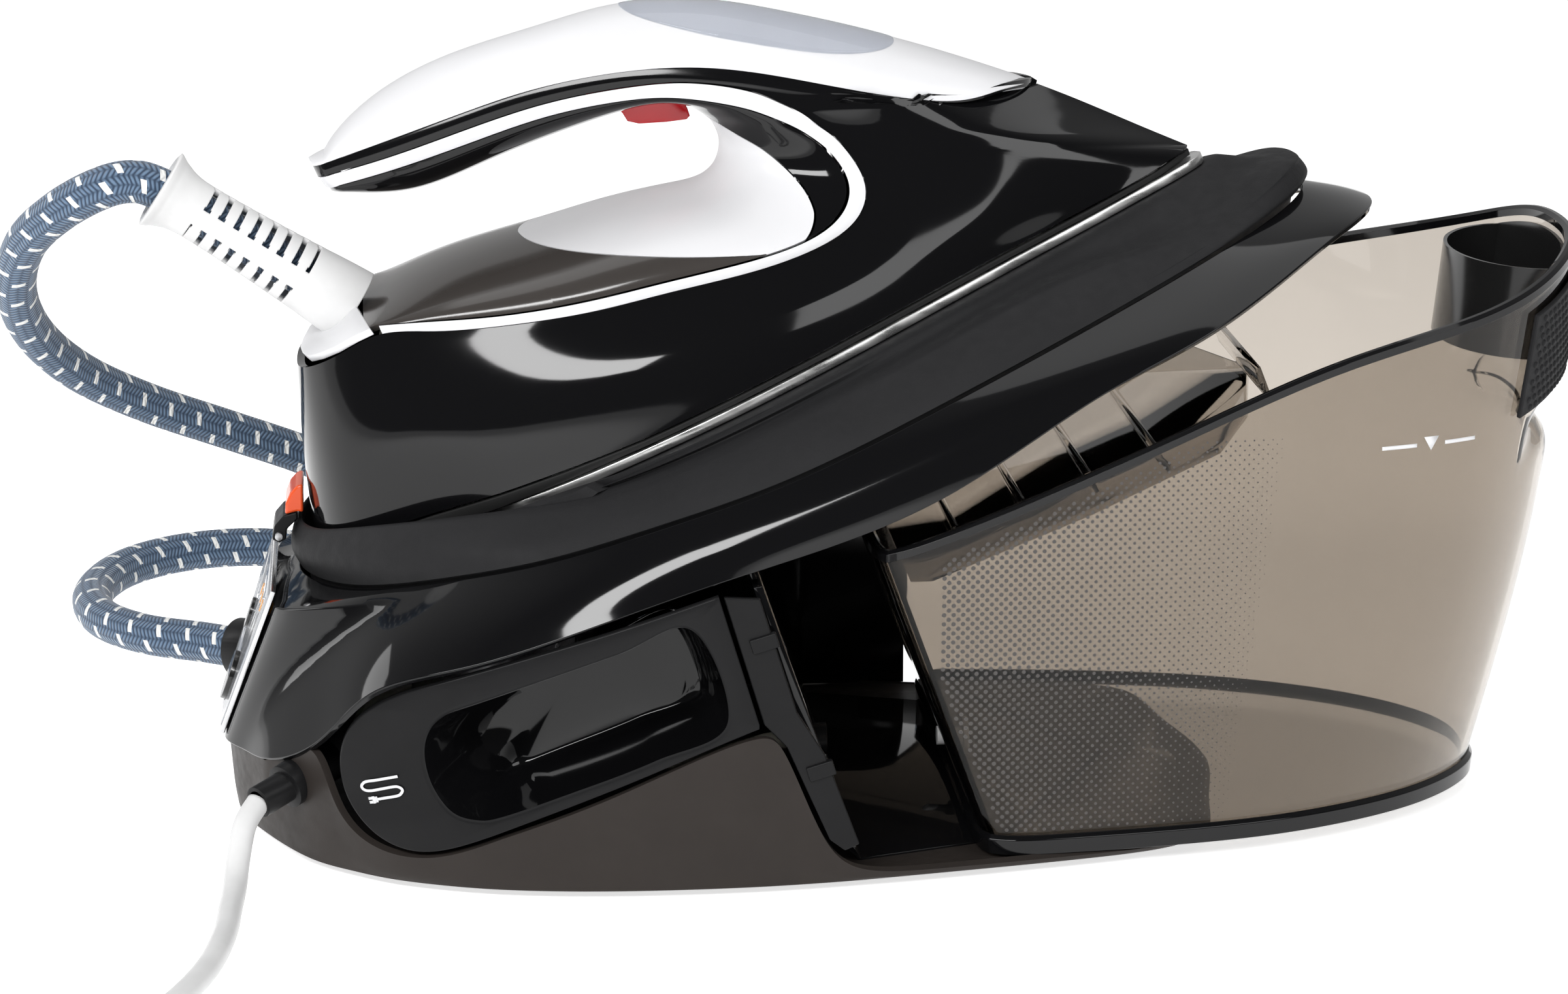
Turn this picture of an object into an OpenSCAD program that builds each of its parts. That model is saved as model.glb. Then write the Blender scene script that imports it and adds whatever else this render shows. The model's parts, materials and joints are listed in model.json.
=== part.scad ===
// Steam generator iron: a hand iron parked on the sloping rest of its boiler base,
// with a clear water tank that slides out of the front of the base.
// +X points at the tank end, +Y away from the side with the cord pocket, +Z up.

/* [Stance] */
// Slope of the iron rest above the floor, degrees
rest_slope = 23.4; // [23:0.1:24]

/* [Shells] */
// Wall thickness of the moulded covers
wall = 2.4; // [2:0.1:2.8]
// Wall thickness of the clear tank
tank_wall = 2.2; // [1.8:0.1:2.6]

/* [Sole] */
// Thickness of the soleplate
sole_thickness = 3; // [2.5:0.1:3.4]
// Radius of a steam hole
steam_hole_r = 1.4; // [1:0.1:1.8]

/* [Cords] */
// Outer diameter of the steam hose with its textile cover
hose_d = 13.4; // [12:0.1:14]
// Outer diameter of the mains lead
lead_d = 7.2; // [6.4:0.1:7.4]

/* [Hidden] */

// Where the tip of the sole stands when the iron is parked.
sole_tip = [97, 0, 203.4];

// ---- Iron curves: [along the sole from its tip, half width, height above the sole] ----
// Lower edge of the side shell, up the nose, then back along the top cover.
shell_outer = [
    [-301, 0, 9], [-297, 24, 9], [-284, 42, 9], [-264, 53, 9], [-243, 60, 8],
    [-221, 63, 7], [-195, 63.5, 6], [-165, 60.5, 6], [-132, 52.5, 6], [-100, 41.5, 6],
    [-70, 30.5, 6], [-40, 21, 6], [-16, 11, 6], [-3, 0, 6.5], [-14, 0, 18],
    [-30, 0, 35], [-41, 0, 46], [-50, 12.5, 50], [-66, 20, 54], [-101, 23.5, 75.5],
    [-137, 22.5, 97.3], [-178, 21.5, 109.5], [-203, 20.5, 112.3], [-229, 18.5, 113.7],
    [-251, 10.5, 114]];
shell_middle = [
    [-293, 0, 34], [-289, 25, 34], [-278, 41, 34], [-261, 51, 34], [-242, 57, 32],
    [-221, 60.5, 29], [-195, 61, 26], [-168, 58.5, 23], [-139, 52, 20], [-112, 43.5, 18.5],
    [-91, 36.5, 19], [-72, 30.5, 21], [-58, 26, 25], [-50, 22.5, 31], [-55, 22, 38],
    [-64, 22, 46], [-76, 22.5, 58], [-83, 23.5, 64.5], [-94, 24.5, 69], [-120, 24.3, 85],
    [-147, 23, 98.6], [-179, 22.2, 107.2], [-204, 21.2, 110], [-230, 19.2, 111.5],
    [-251, 11.5, 112.3]];
shell_inner = [
    [-283, 0, 60], [-280, 22, 60.5], [-270, 34, 62], [-256, 41, 64], [-240, 46, 59],
    [-221, 50, 53], [-195, 51, 46], [-170, 49, 41], [-144, 45, 35.5], [-123, 39.5, 33],
    [-110, 35, 34.5], [-103.5, 31.5, 39], [-101.3, 28.5, 46], [-103, 26.7, 56],
    [-105, 26, 61], [-108, 25.7, 66], [-111, 25.5, 71], [-116, 25, 77], [-122, 24.5, 83],
    [-138, 23.5, 93], [-156.5, 22.5, 99.6], [-180, 22, 105], [-205, 21, 107.6],
    [-231, 19, 109.2], [-251, 11.5, 110.5]];
// Inner edge of the white trim, from the heel round the hand opening to the handle's tail.
trim_inner = [
    [-256, 40, 67], [-240, 45, 62.3], [-221, 49, 56.3], [-195, 50, 49.5], [-170, 48.5, 44.5],
    [-144, 44.5, 39], [-125, 39.5, 36.5], [-114, 35, 38], [-108.3, 31.5, 42],
    [-106.3, 28.5, 48], [-108, 26.8, 56.5], [-110.5, 26.3, 61.5], [-113.5, 25.8, 66],
    [-117, 25.2, 70], [-122, 24.6, 75], [-128, 24, 80], [-143, 23.2, 89.5],
    [-158, 22.3, 95.5], [-181, 21.5, 100.7], [-204, 20.5, 102.8], [-230, 18.5, 104.5],
    [-250, 11.5, 106]];
// Rim of the hand opening on the middle plane.
opening = [
    [-256, 0, 68.5], [-240, 0, 70.5], [-221, 0, 70], [-200, 0, 67.5], [-178, 0, 65],
    [-160, 0, 61.8], [-150, 0, 60.3], [-144, 0, 61.5], [-140.5, 0, 64], [-138.3, 0, 67],
    [-137.2, 0, 70], [-137, 0, 72.5], [-137.2, 0, 75], [-138, 0, 77.5], [-139.8, 0, 80.5],
    [-143, 0, 84.5], [-149.5, 0, 88.5], [-160, 0, 90.6], [-181, 0, 92.2], [-204, 0, 93],
    [-230, 0, 94.2], [-250, 0, 102]];
// Top cover: its lower edge and its ridge.
cover_edge = [
    [-43, 4, 48.2], [-50, 12.5, 50], [-66, 20, 54], [-83, 22.7, 64], [-101, 23.5, 75.5],
    [-122, 23, 89], [-137, 22.5, 97.3], [-154, 22, 104.6], [-178, 21.5, 109.5],
    [-203, 20.5, 112.3], [-229, 18.5, 113.7], [-248, 12, 114], [-254, 5, 113]];
cover_ridge = [
    [-42, 0, 47.5], [-53, 0, 57.4], [-67, 0, 69.6], [-83, 0, 82.4], [-99, 0, 94.2],
    [-117, 0, 106.5], [-132, 0, 114.5], [-151, 0, 121.2], [-176, 0, 124.8],
    [-203, 0, 127.6], [-229, 0, 125.7], [-247, 0, 119], [-254, 0, 113.5]];
// Half outline of the soleplate.
sole_half = [
    [0, 0], [-2, 5], [-9, 9.5], [-20, 14], [-40, 21.5], [-70, 31.5], [-100, 42.5],
    [-132, 53.5], [-165, 61.5], [-195, 64.5], [-221, 63.5], [-243, 57], [-258, 43],
    [-264, 22], [-265, 0]];

// ---- Base curves: [x, half width, z], from the front to the rear ----
shell_top = [
    [128, 0, 196], [118, 26, 192.5], [91, 52, 182.5], [51, 72, 165.5], [4, 86, 144.5],
    [-43, 95, 124.5], [-79, 97, 112.5], [-114, 92, 101], [-140, 81, 93.5], [-158, 68, 88],
    [-172, 52, 83.5], [-183, 32, 80.5], [-189, 14, 79.5], [-190, 0, 79]];
shell_bottom = [
    [150.7, 0, 190.9], [143, 26, 190], [127, 46, 184], [89, 76, 165], [50, 90, 147],
    [0, 99, 118], [-57, 105, 98.8], [-100, 108.5, 85.5], [-140, 107, 73], [-168, 97, 63],
    [-184, 84, 45], [-201, 58, 31.5], [-211, 26, 29], [-214, 0, 28.5]];
rest_rim = [
    [125, 0, 205], [119, 18, 203.5], [95, 38, 191], [50, 52, 178], [0, 67, 157],
    [-40, 74, 139.5], [-72, 77, 126], [-105, 76, 115.5], [-138, 71, 110.5], [-158, 60, 106],
    [-173, 45, 101], [-183, 28, 96.5], [-188, 12, 94.5], [-189, 0, 94]];
housing_top = [
    [102, 0, 4.7], [95, 45, 4.7], [86, 77, 4.7], [49, 92, 4.7], [3, 101.5, 4.8],
    [-22, 106, 7], [-33, 107.5, 17], [-46, 109.5, 46], [-53, 110, 49.8], [-95, 110.5, 33.4],
    [-130, 107, 19.6], [-150, 102, 12.8], [-168, 93.5, 14], [-179.5, 86, 25],
    [-186, 80, 40], [-201, 58, 31], [-211, 26, 28.3], [-214, 0, 28]];
housing_bottom = [
    [98, 0], [92, 44], [83, 75], [48, 90.5], [3, 100], [-20, 104.5], [-33, 106.5],
    [-46, 108], [-60, 109], [-95, 109], [-130, 104.5], [-150, 98], [-165, 90.5],
    [-176, 82], [-187, 71], [-202, 43], [-210, 20], [-212, 0]];
// Side panel and its pocket mouth: [x, z], once round.
panel_border = [
    [-65, 94], [-100, 82.6], [-148, 67.5], [-165, 60], [-174.5, 51], [-178, 39],
    [-174, 25], [-163, 15.8], [-150, 14.9], [-128, 22.4], [-90, 37.6], [-68, 46.7],
    [-52.5, 52.8]];
pocket_mouth = [
    [-73, 84], [-96, 76.5], [-136, 62], [-148, 56.5], [-152.5, 48], [-151, 37],
    [-145, 28], [-137, 25.5], [-129, 27], [-110, 34], [-84, 44], [-62.5, 55]];
side_width = [[-214, 40], [-184, 84], [-178, 89], [-168, 95], [-150, 103], [-130, 107.5],
    [-95, 110.5], [-49, 109.8]];
pocket_floor_y = 74;

// ---- Tank curves: [x, half width, z], from the front to the rear ----
tank_top = [
    [213.5, 0, 180], [210, 28, 178.5], [197, 52, 172], [172, 72, 164], [125, 86, 152.5],
    [72, 92, 131.5], [27, 94.5, 113], [-5, 96, 101.5], [-13, 94, 99], [-15.5, 86, 98.5],
    [-15.5, 0, 98.5]];
tank_foot = [
    [185.6, 0, 7.5], [182, 21, 7.5], [166, 44, 7.5], [143, 62, 7.5], [108, 78, 7.5],
    [72, 86, 7.5], [48, 89.5, 7.5], [27, 91, 7.5], [20.5, 89, 7.5], [18.5, 82, 7.5],
    [18.5, 0, 7.5]];
tank_belly = [5, 5, 4.5, 4, 3, 1.5, 0.5, 0, 0, 0, 0];

// ---- Cord routes: round numbers ----
hose_upper_route = [
    [-222, 0, 193.9], [-230, 0, 199], [-238, 0.5, 201.5], [-248, 2, 199.5], [-262, 10, 191], [-274, 24, 178],
    [-279, 42, 160], [-275, 62, 141], [-262, 80, 124], [-241, 94, 110], [-215, 104, 98],
    [-188, 112, 86], [-162, 119, 72], [-137, 126, 55], [-112, 132, 38]];
hose_lower_route = [
    [-111.4, 132.1, 37.7], [-90, 137, 25], [-66, 143, 14], [-42, 150, 8], [-18, 160, 7],
    [2, 175, 7], [14, 197, 7], [18.6, 216, 7]];
hose_return_route = [
    [-119.5, 221, 12], [-121.5, 206, 19.5], [-125, 191, 22.5], [-133, 177, 24.5],
    [-148, 167, 30], [-178, 160, 38],
    [-205, 161, 42], [-232, 157, 42], [-253, 144, 40], [-263, 122, 37], [-259, 98, 35],
    [-244, 80, 34], [-224, 68, 34], [-212, 60, 34]];
hose_coil_centre = [-60, 235, 0];
hose_coil_inner = 52;
hose_coil_width = 34;
lead_route = [
    [-203, -78, 24], [-207, -84, 19], [-209, -91, 11], [-210, -102, 5], [-211, -118, 3.6],
    [-212, -140, 3.6], [-216, -168, 3.6], [-224, -195, 3.6], [-236, -222, 3.6],
    [-252, -248, 3.6], [-268, -275, 3.6], [-276, -305, 3.6]];
lead_coil_centre = [-236, -310, 0];
lead_tail_route = [
    [-236, -356.8, 3.6], [-222, -357.5, 3.6], [-208, -359, 6], [-194, -360, 12]];
plug_rear = [-194, -360, 13.6];

// ---- Helpers ----
function last(list) = list[len(list) - 1];
function mix(a, b, t) = a * (1 - t) + b * t;
function unit(v) = v / max(norm(v), 1e-9);
function curve_at(p, i, t) =
    let (n = len(p) - 1,
         a = p[max(i - 1, 0)], b = p[i], c = p[min(i + 1, n)], d = p[min(i + 2, n)])
    0.5 * (2 * b + (c - a) * t + (2 * a - 5 * b + 4 * c - d) * t * t
        + (3 * b - a - 3 * c + d) * t * t * t);
// The curve through the points, with k steps from each to the next.
function smooth(p, k) = [
    for (i = [0 : len(p) - 2], j = [0 : k - 1]) curve_at(p, i, j / k), last(p)];
function at(p, x) =
    let (i = min(floor(x), len(p) - 2)) curve_at(p, i, x - i);
function loop_at(p, i, t) =
    let (n = len(p),
         a = p[(i + n - 1) % n], b = p[i], c = p[(i + 1) % n], d = p[(i + 2) % n])
    0.5 * (2 * b + (c - a) * t + (2 * a - 5 * b + 4 * c - d) * t * t
        + (3 * b - a - 3 * c + d) * t * t * t);
function smooth_loop(p, k) = [
    for (i = [0 : len(p) - 1], j = [0 : k - 1]) loop_at(p, i, j / k)];
function mirrored(half) = concat(half,
    [for (i = [len(half) - 1 : -1 : 0]) if (half[i][1] > 0.01) [half[i][0], -half[i][1]]]);
// Outward direction in plan at a point of a half curve, seen from [centre_x, 0].
function out_at(c, i, centre_x) =
    let (d = c[min(i + 1, len(c) - 1)] - c[max(i - 1, 0)], v = unit([-d[1], d[0]]),
         w = v * (v * [c[i][0] - centre_x, c[i][1] * 2] < 0 ? -1 : 1))
    c[i][1] < 0.01 ? unit([w[0], 0]) : w;
// Closed ring from a half curve, moved inward by an inset and raised by a lift.
function inset_ring(half, inset, centre_x, lift = 0) =
    let (moved = [for (i = [0 : len(half) - 1])
        let (o = out_at(half, i, centre_x), c = half[i])
        [c[0] - o[0] * inset, c[1] < 0.01 ? 0 : max(c[1] - o[1] * inset, 0.1), c[2] + lift]])
    concat(moved, [for (i = [len(half) - 2 : -1 : 1]) [moved[i][0], -moved[i][1], moved[i][2]]]);
function level(half, z) = [for (p = half) [p[0], p[1], z]];

// A closed polyhedron, its faces turned outward whichever way they were listed.
module solid(points, faces) {
    volume = [for (f = faces) cross(points[f[0]], points[f[1]]) * points[f[2]]]
        * [for (f = faces) 1];
    turned = volume < 0 ? faces : [for (f = faces) [f[2], f[1], f[0]]];
    polyhedron(points, turned);
}
function quad(a, b, c, d) = [[a, b, c], [a, c, d]];

// Rings of equal length joined in order, closed with a cap at each end or as a torus.
module skin(rings, torus = false) {
    n = len(rings[0]);
    m = len(rings);
    ones = [for (p = rings[0]) 1];
    points = concat([for (r = rings, p = r) p], [ones * rings[0] / n, ones * last(rings) / n]);
    sides = [for (i = [0 : m - (torus ? 1 : 2)], j = [0 : n - 1])
        let (a = (i + 1) % m, b = (j + 1) % n)
        each quad(i * n + j, a * n + j, a * n + b, i * n + b)];
    ends = torus ? [] : [for (j = [0 : n - 1])
        let (b = (j + 1) % n)
        each [[m * n, j, b], [m * n + 1, (m - 1) * n + b, (m - 1) * n + j]]];
    solid(points, concat(sides, ends));
}

function grid_normal(g, i, j) =
    let (m = len(g) - 1, n = len(g[0]) - 1,
         along = g[min(i + 1, m)][j] - g[max(i - 1, 0)][j],
         across = g[i][min(j + 1, n)] - g[i][max(j - 1, 0)],
         v = unit(cross(along, across)))
    abs(g[i][j][1]) < 0.01 ? unit([v[0], 0, v[2]]) : v;
function offset_grid(g, t) = [
    for (i = [0 : len(g) - 1]) [
        for (j = [0 : len(g[0]) - 1]) g[i][j] - t * grid_normal(g, i, j)]];
function on_seam(g, i, j) = abs(g[i][j][1]) < 0.01;

// Faces of one half of a moulded cover: skin, lining, and a wall along each free edge.
function half_faces(g) =
    let (m = len(g) - 1, n = len(g[0]) - 1, w = n + 1, deep = (m + 1) * w)
    concat(
        [for (i = [0 : m - 1], j = [0 : n - 1])
            each quad(i * w + j, (i + 1) * w + j, (i + 1) * w + j + 1, i * w + j + 1)],
        [for (i = [0 : m - 1], j = [0 : n - 1])
            each quad(deep + i * w + j, deep + i * w + j + 1, deep + (i + 1) * w + j + 1,
                deep + (i + 1) * w + j)],
        [for (i = [0 : m - 1], j = [0, n])
            if (!(on_seam(g, i, j) && on_seam(g, i + 1, j)))
            each (j == 0
                ? quad(i * w, deep + i * w, deep + (i + 1) * w, (i + 1) * w)
                : quad(i * w + n, (i + 1) * w + n, deep + (i + 1) * w + n, deep + i * w + n))],
        [for (j = [0 : n - 1], i = [0, m])
            if (!(on_seam(g, i, j) && on_seam(g, i, j + 1)))
            each (i == 0
                ? quad(j, j + 1, deep + j + 1, deep + j)
                : quad(m * w + j, deep + m * w + j, deep + m * w + j + 1, m * w + j + 1))]);
function flat_list(g) = [for (row = g, p = row) p];
function flip_y(points) = [for (p = points) [p[0], -p[1], p[2]]];

// A cover made of a half grid and its mirror image, joined wherever the grid meets y = 0.
module cover(grid, thickness) {
    half = concat(flat_list(grid), flat_list(offset_grid(grid, thickness)));
    off_seam = [for (f = half_faces(grid)) if (max([for (k = f) abs(half[k][1])]) > 0.01) f];
    far = [for (f = off_seam) [f[2], f[1], f[0]] + len(half) * [1, 1, 1]];
    solid(concat(half, flip_y(half)), concat(off_seam, far));
}
// A pair of covers that don't meet: one on each side.
module cover_pair(grid, thickness) {
    half = concat(flat_list(grid), flat_list(offset_grid(grid, thickness)));
    for (side = [0, 1])
        mirror([0, side, 0]) solid(half, half_faces(grid));
}

// Round tube along a route.
function frame_at(path, i) =
    let (d = unit(path[min(i + 1, len(path) - 1)] - path[max(i - 1, 0)]),
         side = unit(cross(d, abs(d[2]) > 0.95 ? [1, 0, 0] : [0, 0, 1])))
    [side, cross(side, d)];
module tube(path, d, sides = 10) {
    skin([for (i = [0 : len(path) - 1])
        let (f = frame_at(path, i))
        [for (a = [0 : 360 / sides : 359])
            path[i] + d / 2 * (cos(a) * f[0] + sin(a) * f[1])]]);
}
module rod(a, b, r) {
    d = b - a;
    translate(a)
    rotate([0, acos(d[2] / norm(d)), atan2(d[1], d[0])])
    cylinder(h = norm(d), r = r, $fn = 32);
}
// The iron's own frame: x along the sole from its tip, z square to it.
module incline() {
    translate(sole_tip) rotate([0, -rest_slope, 0]) children();
}
function to_world(p) = sole_tip + [
    p[0] * cos(rest_slope) - p[2] * sin(rest_slope), p[1],
    p[0] * sin(rest_slope) + p[2] * cos(rest_slope)];

// ---- Iron ----
shell_rows = [for (i = [0 : 2 : 48])
    smooth([at(shell_inner, i / 2), at(shell_middle, i / 2), at(shell_outer, i / 2)], 3)];
function quarter(edge, ridge, v) =
    [mix(edge[0], ridge[0], sin(90 * v)), edge[1] * cos(90 * v),
     mix(edge[2], ridge[2], sin(90 * v))];
// Share of the way from the trim to the opening's rim that the black grip reaches.
function crescent(i) = i < 6 ? 0 : min(1, (i - 6) / 9);
function deck_share(i) = i < 2.8 ? 1 : max(0, 1 - (i - 2.8) / 1.2);
function opening_patch(i, low, high, steps) = [
    for (j = [0 : steps])
        quarter(at(trim_inner, i), at(opening, i), mix(low, high, j / steps))];
sole_outline = mirrored(smooth(sole_half, 3));
hole_places = [for (row = [0 : 5], side = [-1, 1])
    [-62 - 26 * row, side * (8 + 4.6 * row)]];

module soleplate() {
    color("silver") incline()
    difference() {
        linear_extrude(sole_thickness) polygon(sole_outline);
        for (p = hole_places)
            translate([p[0], p[1], -1]) cylinder(h = sole_thickness + 2, r = steam_hole_r, $fn = 24);
    }
}
casting_half = [
    [-50, 0], [-53, 6], [-72, 21], [-100, 33], [-132, 45], [-165, 53],
    [-195, 56], [-221, 54.5], [-240, 48], [-250, 34], [-254, 0]];
heater_leg = [-78, 15, 17.5];
heater_tail = [-205, 36, 17.5];
module heater_path(r) {
    for (side = [-1, 1])
        rod([heater_leg[0], side * heater_leg[1], heater_leg[2]],
            [heater_tail[0], side * heater_tail[1], heater_tail[2]], r);
    translate(heater_leg - [0, heater_leg[1], 0])
    rotate([0, 0, -90]) rotate_extrude(angle = 180, $fn = 48)
    translate([heater_leg[1], 0]) circle(r, $fn = 24);
}
function chamber_plan(lip) = [[-80 + lip, -8 - lip / 2], [-80 + lip, 8 + lip / 2],
    [-190 - lip, 26 + lip / 2], [-190 - lip, -26 - lip / 2]];
module sole_casting() {
    color("gainsboro") incline()
    difference() {
        translate([0, 0, sole_thickness]) linear_extrude(13)
            polygon(mirrored(smooth(casting_half, 2)));
        translate([0, 0, 11]) linear_extrude(10) polygon(chamber_plan(0));
        for (p = hole_places)
            translate([p[0], p[1], 0]) cylinder(h = 12, r = steam_hole_r, $fn = 24);
        heater_path(3.6);
    }
}
module sole_heater() {
    color("dimgray") incline() heater_path(3.3);
}
chamber_cover_z = 16;
module steam_chamber_cover() {
    color("lightgray") incline()
    difference() {
        union() {
            translate([0, 0, chamber_cover_z]) linear_extrude(1.6) polygon(chamber_plan(4));
            translate([-180, 0, chamber_cover_z]) cylinder(h = 9, r = 4, $fn = 32);
        }
        translate([-180, 0, 0]) cylinder(h = 40, r = 2.4, $fn = 32);
    }
}
module sole_thermostat() {
    color("tan") incline() {
        translate([-100, 0, chamber_cover_z + 1.6]) cylinder(h = 7, r = 8, $fn = 40);
        translate([-104, -6, chamber_cover_z + 8.5]) cube([8, 2, 5]);
        translate([-104, 4, chamber_cover_z + 8.5]) cube([8, 2, 5]);
    }
}
// Heat-proof skirt between the sole and the shell.
skirt_low = sole_thickness + 0.3;
skirt_line = [for (i = [0 : 2 : 26]) let (p = at(shell_outer, i / 2)) [p[0], i == 26 ? 0 : p[1], p[2]]];
module heat_skirt() {
    color("black") incline()
    cover([for (p = skirt_line)
        [[p[0], p[1], p[2] - 1], [p[0] * 0.999 - 0.2, p[1] * 0.99, skirt_low]]], 1.6);
}
module iron_shell() {
    color([0.03, 0.03, 0.03]) incline() cover(shell_rows, wall);
}
module handle_top_cover() {
    color("white") incline()
    cover([for (i = [0 : 24])
        [for (j = [0 : 6]) quarter(at(cover_edge, i / 2), at(cover_ridge, i / 2), j / 6)]], wall);
}
// Long oval lens let into the top of the handle, a little proud of it.
module top_lens() {
    color([0.75, 0.78, 0.85, 0.6]) incline()
    cover([for (i = [0 : 16])
        let (x = 4.2 + 3.6 * i / 16, reach = 0.72 * sqrt(max(0.02, 1 - pow(i / 8 - 1, 2))))
        [for (j = [0 : 4])
            let (p = quarter(at(cover_edge, x), at(cover_ridge, x), 1 - reach * (1 - j / 4)))
            [p[0] + 0.9 * 0.5, p[1] * 1.03, p[2] + 0.9]]], 0.8);
}
trim_share = [0.06, 0.94];
module handle_trim() {
    color("white") incline()
    cover_pair([for (i = [0 : 2 : 42])
        let (a = at(shell_inner, i / 2 + 3), b = at(trim_inner, i / 2))
        [for (t = trim_share) mix(a, b, t) + [0, 0.5, 0]]], wall);
}
module grip_cover() {
    color([0.05, 0.05, 0.05]) incline()
    difference() {
        cover([for (i = [0 : 20])
            let (x = 6.2 + 14.8 * i / 20, high = crescent(x))
            opening_patch(x, 0.01, max(0.03, high > 0.99 ? 1 : high * 0.985), 5)], wall);
        trigger_slot();
    }
}
module saddle_cover() {
    color("white") incline()
    difference() {
        cover([for (i = [0 : 24])
            let (x = 2.95 + 11.95 * i / 24, low = max(crescent(x), deck_share(x)))
            opening_patch(x, min(low + 0.015, 0.97), 1, 5)], wall);
        trigger_slot();
    }
}
module heel_deck() {
    color([0.12, 0.11, 0.11]) incline()
    cover([for (i = [0 : 10])
        let (x = 3.85 * i / 10)
        opening_patch(x, 0.01, deck_share(x) > 0.99 ? 1 : max(deck_share(x) * 0.985, 0.03), 6)],
        wall);
}
trigger_pivot = [-167, 0, 98];
trigger_width = 13;
module across(place, length, r) {
    translate(place) rotate([90, 0, 0]) cylinder(h = length, r = r, center = true, $fn = 32);
}
module trigger_pin() {
    color("silver") incline() across(trigger_pivot, 20, 1.2);
}
module steam_trigger() {
    color([0.75, 0.05, 0.05]) incline()
    difference() {
        union() {
            rotate([90, 0, 0]) linear_extrude(trigger_width, center = true)
                polygon([[-161, 87], [-158, 84.8], [-150, 81.8], [-144, 80], [-142.6, 80.6],
                    [-142.4, 83], [-144, 96], [-158, 97], [-165, 101], [-168, 98],
                    [-163, 93.5], [-161.4, 90]]);
            across(trigger_pivot, trigger_width, 3);
        }
        across(trigger_pivot, 30, 1.25);
    }
}
module trigger_slot() {
    translate([-163.2, -7.2, 70]) cube([22.4, 14.4, 26.5]);
}
spring_turns = 3;
module trigger_spring() {
    color("silver") incline() translate([-150, 0, 97])
    tube([for (i = [0 : spring_turns * 10])
        [2.4 * cos(36 * i), 2.4 * sin(36 * i), 0.5 + 0.16 * i]], 0.8, 6);
}
module trigger_switch() {
    color("darkslategray") incline() {
        translate([-160, -6, 102.8]) cube([18, 12, 8]);
        translate([-156, -2, 110]) cube([2, 4, 4]);
    }
}
// Flange on the heel that carries the hose sleeve.
module heel_collar() {
    color("white") incline()
    cover([for (i = [0 : 6])
        let (e = at(shell_inner, min(i / 2, 2.9)), middle = -268 + i)
        [for (j = [0 : 3])
            [mix(e[0], middle, j / 3), e[1] * (1 - j / 3), e[2] + 0.5 + 3 * sin(30 * j)]]], wall);
}
sleeve_axis = to_world([-262, 0, 66]);
sleeve_length = 72;
module along_sleeve() {
    translate(sleeve_axis) rotate([0, -57, 0]) children();
}
module hose_sleeve() {
    color("white") along_sleeve()
    difference() {
        rotate_extrude($fn = 64)
            polygon([[6.9, 8], [13.4, 8], [11.5, 16], [9.6, 20], [9.2, 62], [10, 66],
                [12.2, sleeve_length], [8.4, sleeve_length], [6.9, sleeve_length - 6]]);
        for (i = [0 : 6], side = [-1, 1])
            translate([side * 11, 0, 24 + 5 * i + (side + 1) * 1.25])
            cube([9, 30, 2], center = true);
    }
}
module iron_screws() {
    color("gray") incline()
    for (p = [[-54, 0], [-222, 20], [-222, -20]])
        translate([p[0], p[1], 16.1]) cylinder(h = 3, r = 3.5, $fn = 32);
}
module iron_steam_tube() {
    color("ivory") incline()
    tube(smooth([[-258, 0, 58], [-250, 0, 52], [-235, 0, 44], [-212, 0, 38], [-190, 0, 35],
        [-181, 0, 31], [-180, 0, 26]], 2), 6);
}

// ---- Base ----
housing_floor_z = 1.6;
module lower_housing() {
    foot = level(smooth(housing_bottom, 2), housing_floor_z);
    brim = smooth(housing_top, 2);
    skirt = [for (i = [0 : len(foot) - 1]) mix(foot[i], brim[i], 0.35) + [0, 0, 0.8]];
    color([0.2, 0.19, 0.18])
    skin([inset_ring(foot, 1.2, -60), inset_ring(skirt, 0, -60), inset_ring(brim, 0, -60),
        inset_ring(brim, wall, -60), inset_ring(level(foot, housing_floor_z + wall), wall + 1, -60)]);
}
shell_bulge = 2.5;
module upper_shell() {
    top = smooth(shell_top, 3);
    bottom = smooth(shell_bottom, 3);
    color([0.02, 0.02, 0.02])
    difference() {
        cover([for (i = [0 : len(top) - 1])
            let (a = top[i], b = bottom[i], out = unit([a[0] + 60, 2 * a[1], 0]))
            [for (j = [0 : 5])
                let (t = j / 5, p = mix(a, b, t) + shell_bulge * sin(180 * t) * out)
                [p[0], a[1] < 0.01 ? 0 : p[1], p[2]]]], wall);
        on_panel() translate([-8, 0, 0]) rotate([90, 0, 90]) linear_extrude(20)
            polygon([[-22, -6], [22, -6], [24, 2.5], [35, 49], [-35, 49], [-24, 2.5]]);
    }
}
rest_margin = 4;
rest_floor = [for (i = [0 : 13])
    let (p = shell_outer[13 - i], o = out_at(shell_outer, 13 - i, -180))
    to_world(i == 0 ? [5, 0, -0.4] : [p[0] + rest_margin * o[0], p[1] + rest_margin * o[1], -0.4])];
module iron_rest() {
    rim = smooth(rest_rim, 2);
    edge = smooth(shell_top, 2);
    floor_line = smooth(rest_floor, 2);
    color([0.09, 0.09, 0.09])
    cover([for (i = [0 : len(rim) - 1])
        let (e = edge[i] + [0, 0, 1.2], r = rim[i], f = floor_line[i],
             out = unit([e[0] + 60, 2 * e[1], 0]), c = [f[0] * 0.995 - 0.3, 0, f[2] - 0.3])
        [for (p = [e, mix(e, r, 0.4) + 3 * out, mix(e, r, 0.85) + 2 * out, r,
                mix(r, f, 0.5) - [0, 0, 1], f, c])
            [p[0], r[1] < 0.01 ? 0 : max(p[1], 0), p[2]]]], wall);
}
function side_y(x) = lookup(x, side_width);
function panel_ring(loop, depth) = [for (p = smooth_loop(loop, 3)) [p[0], side_y(p[0]) - depth, p[1]]];
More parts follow.
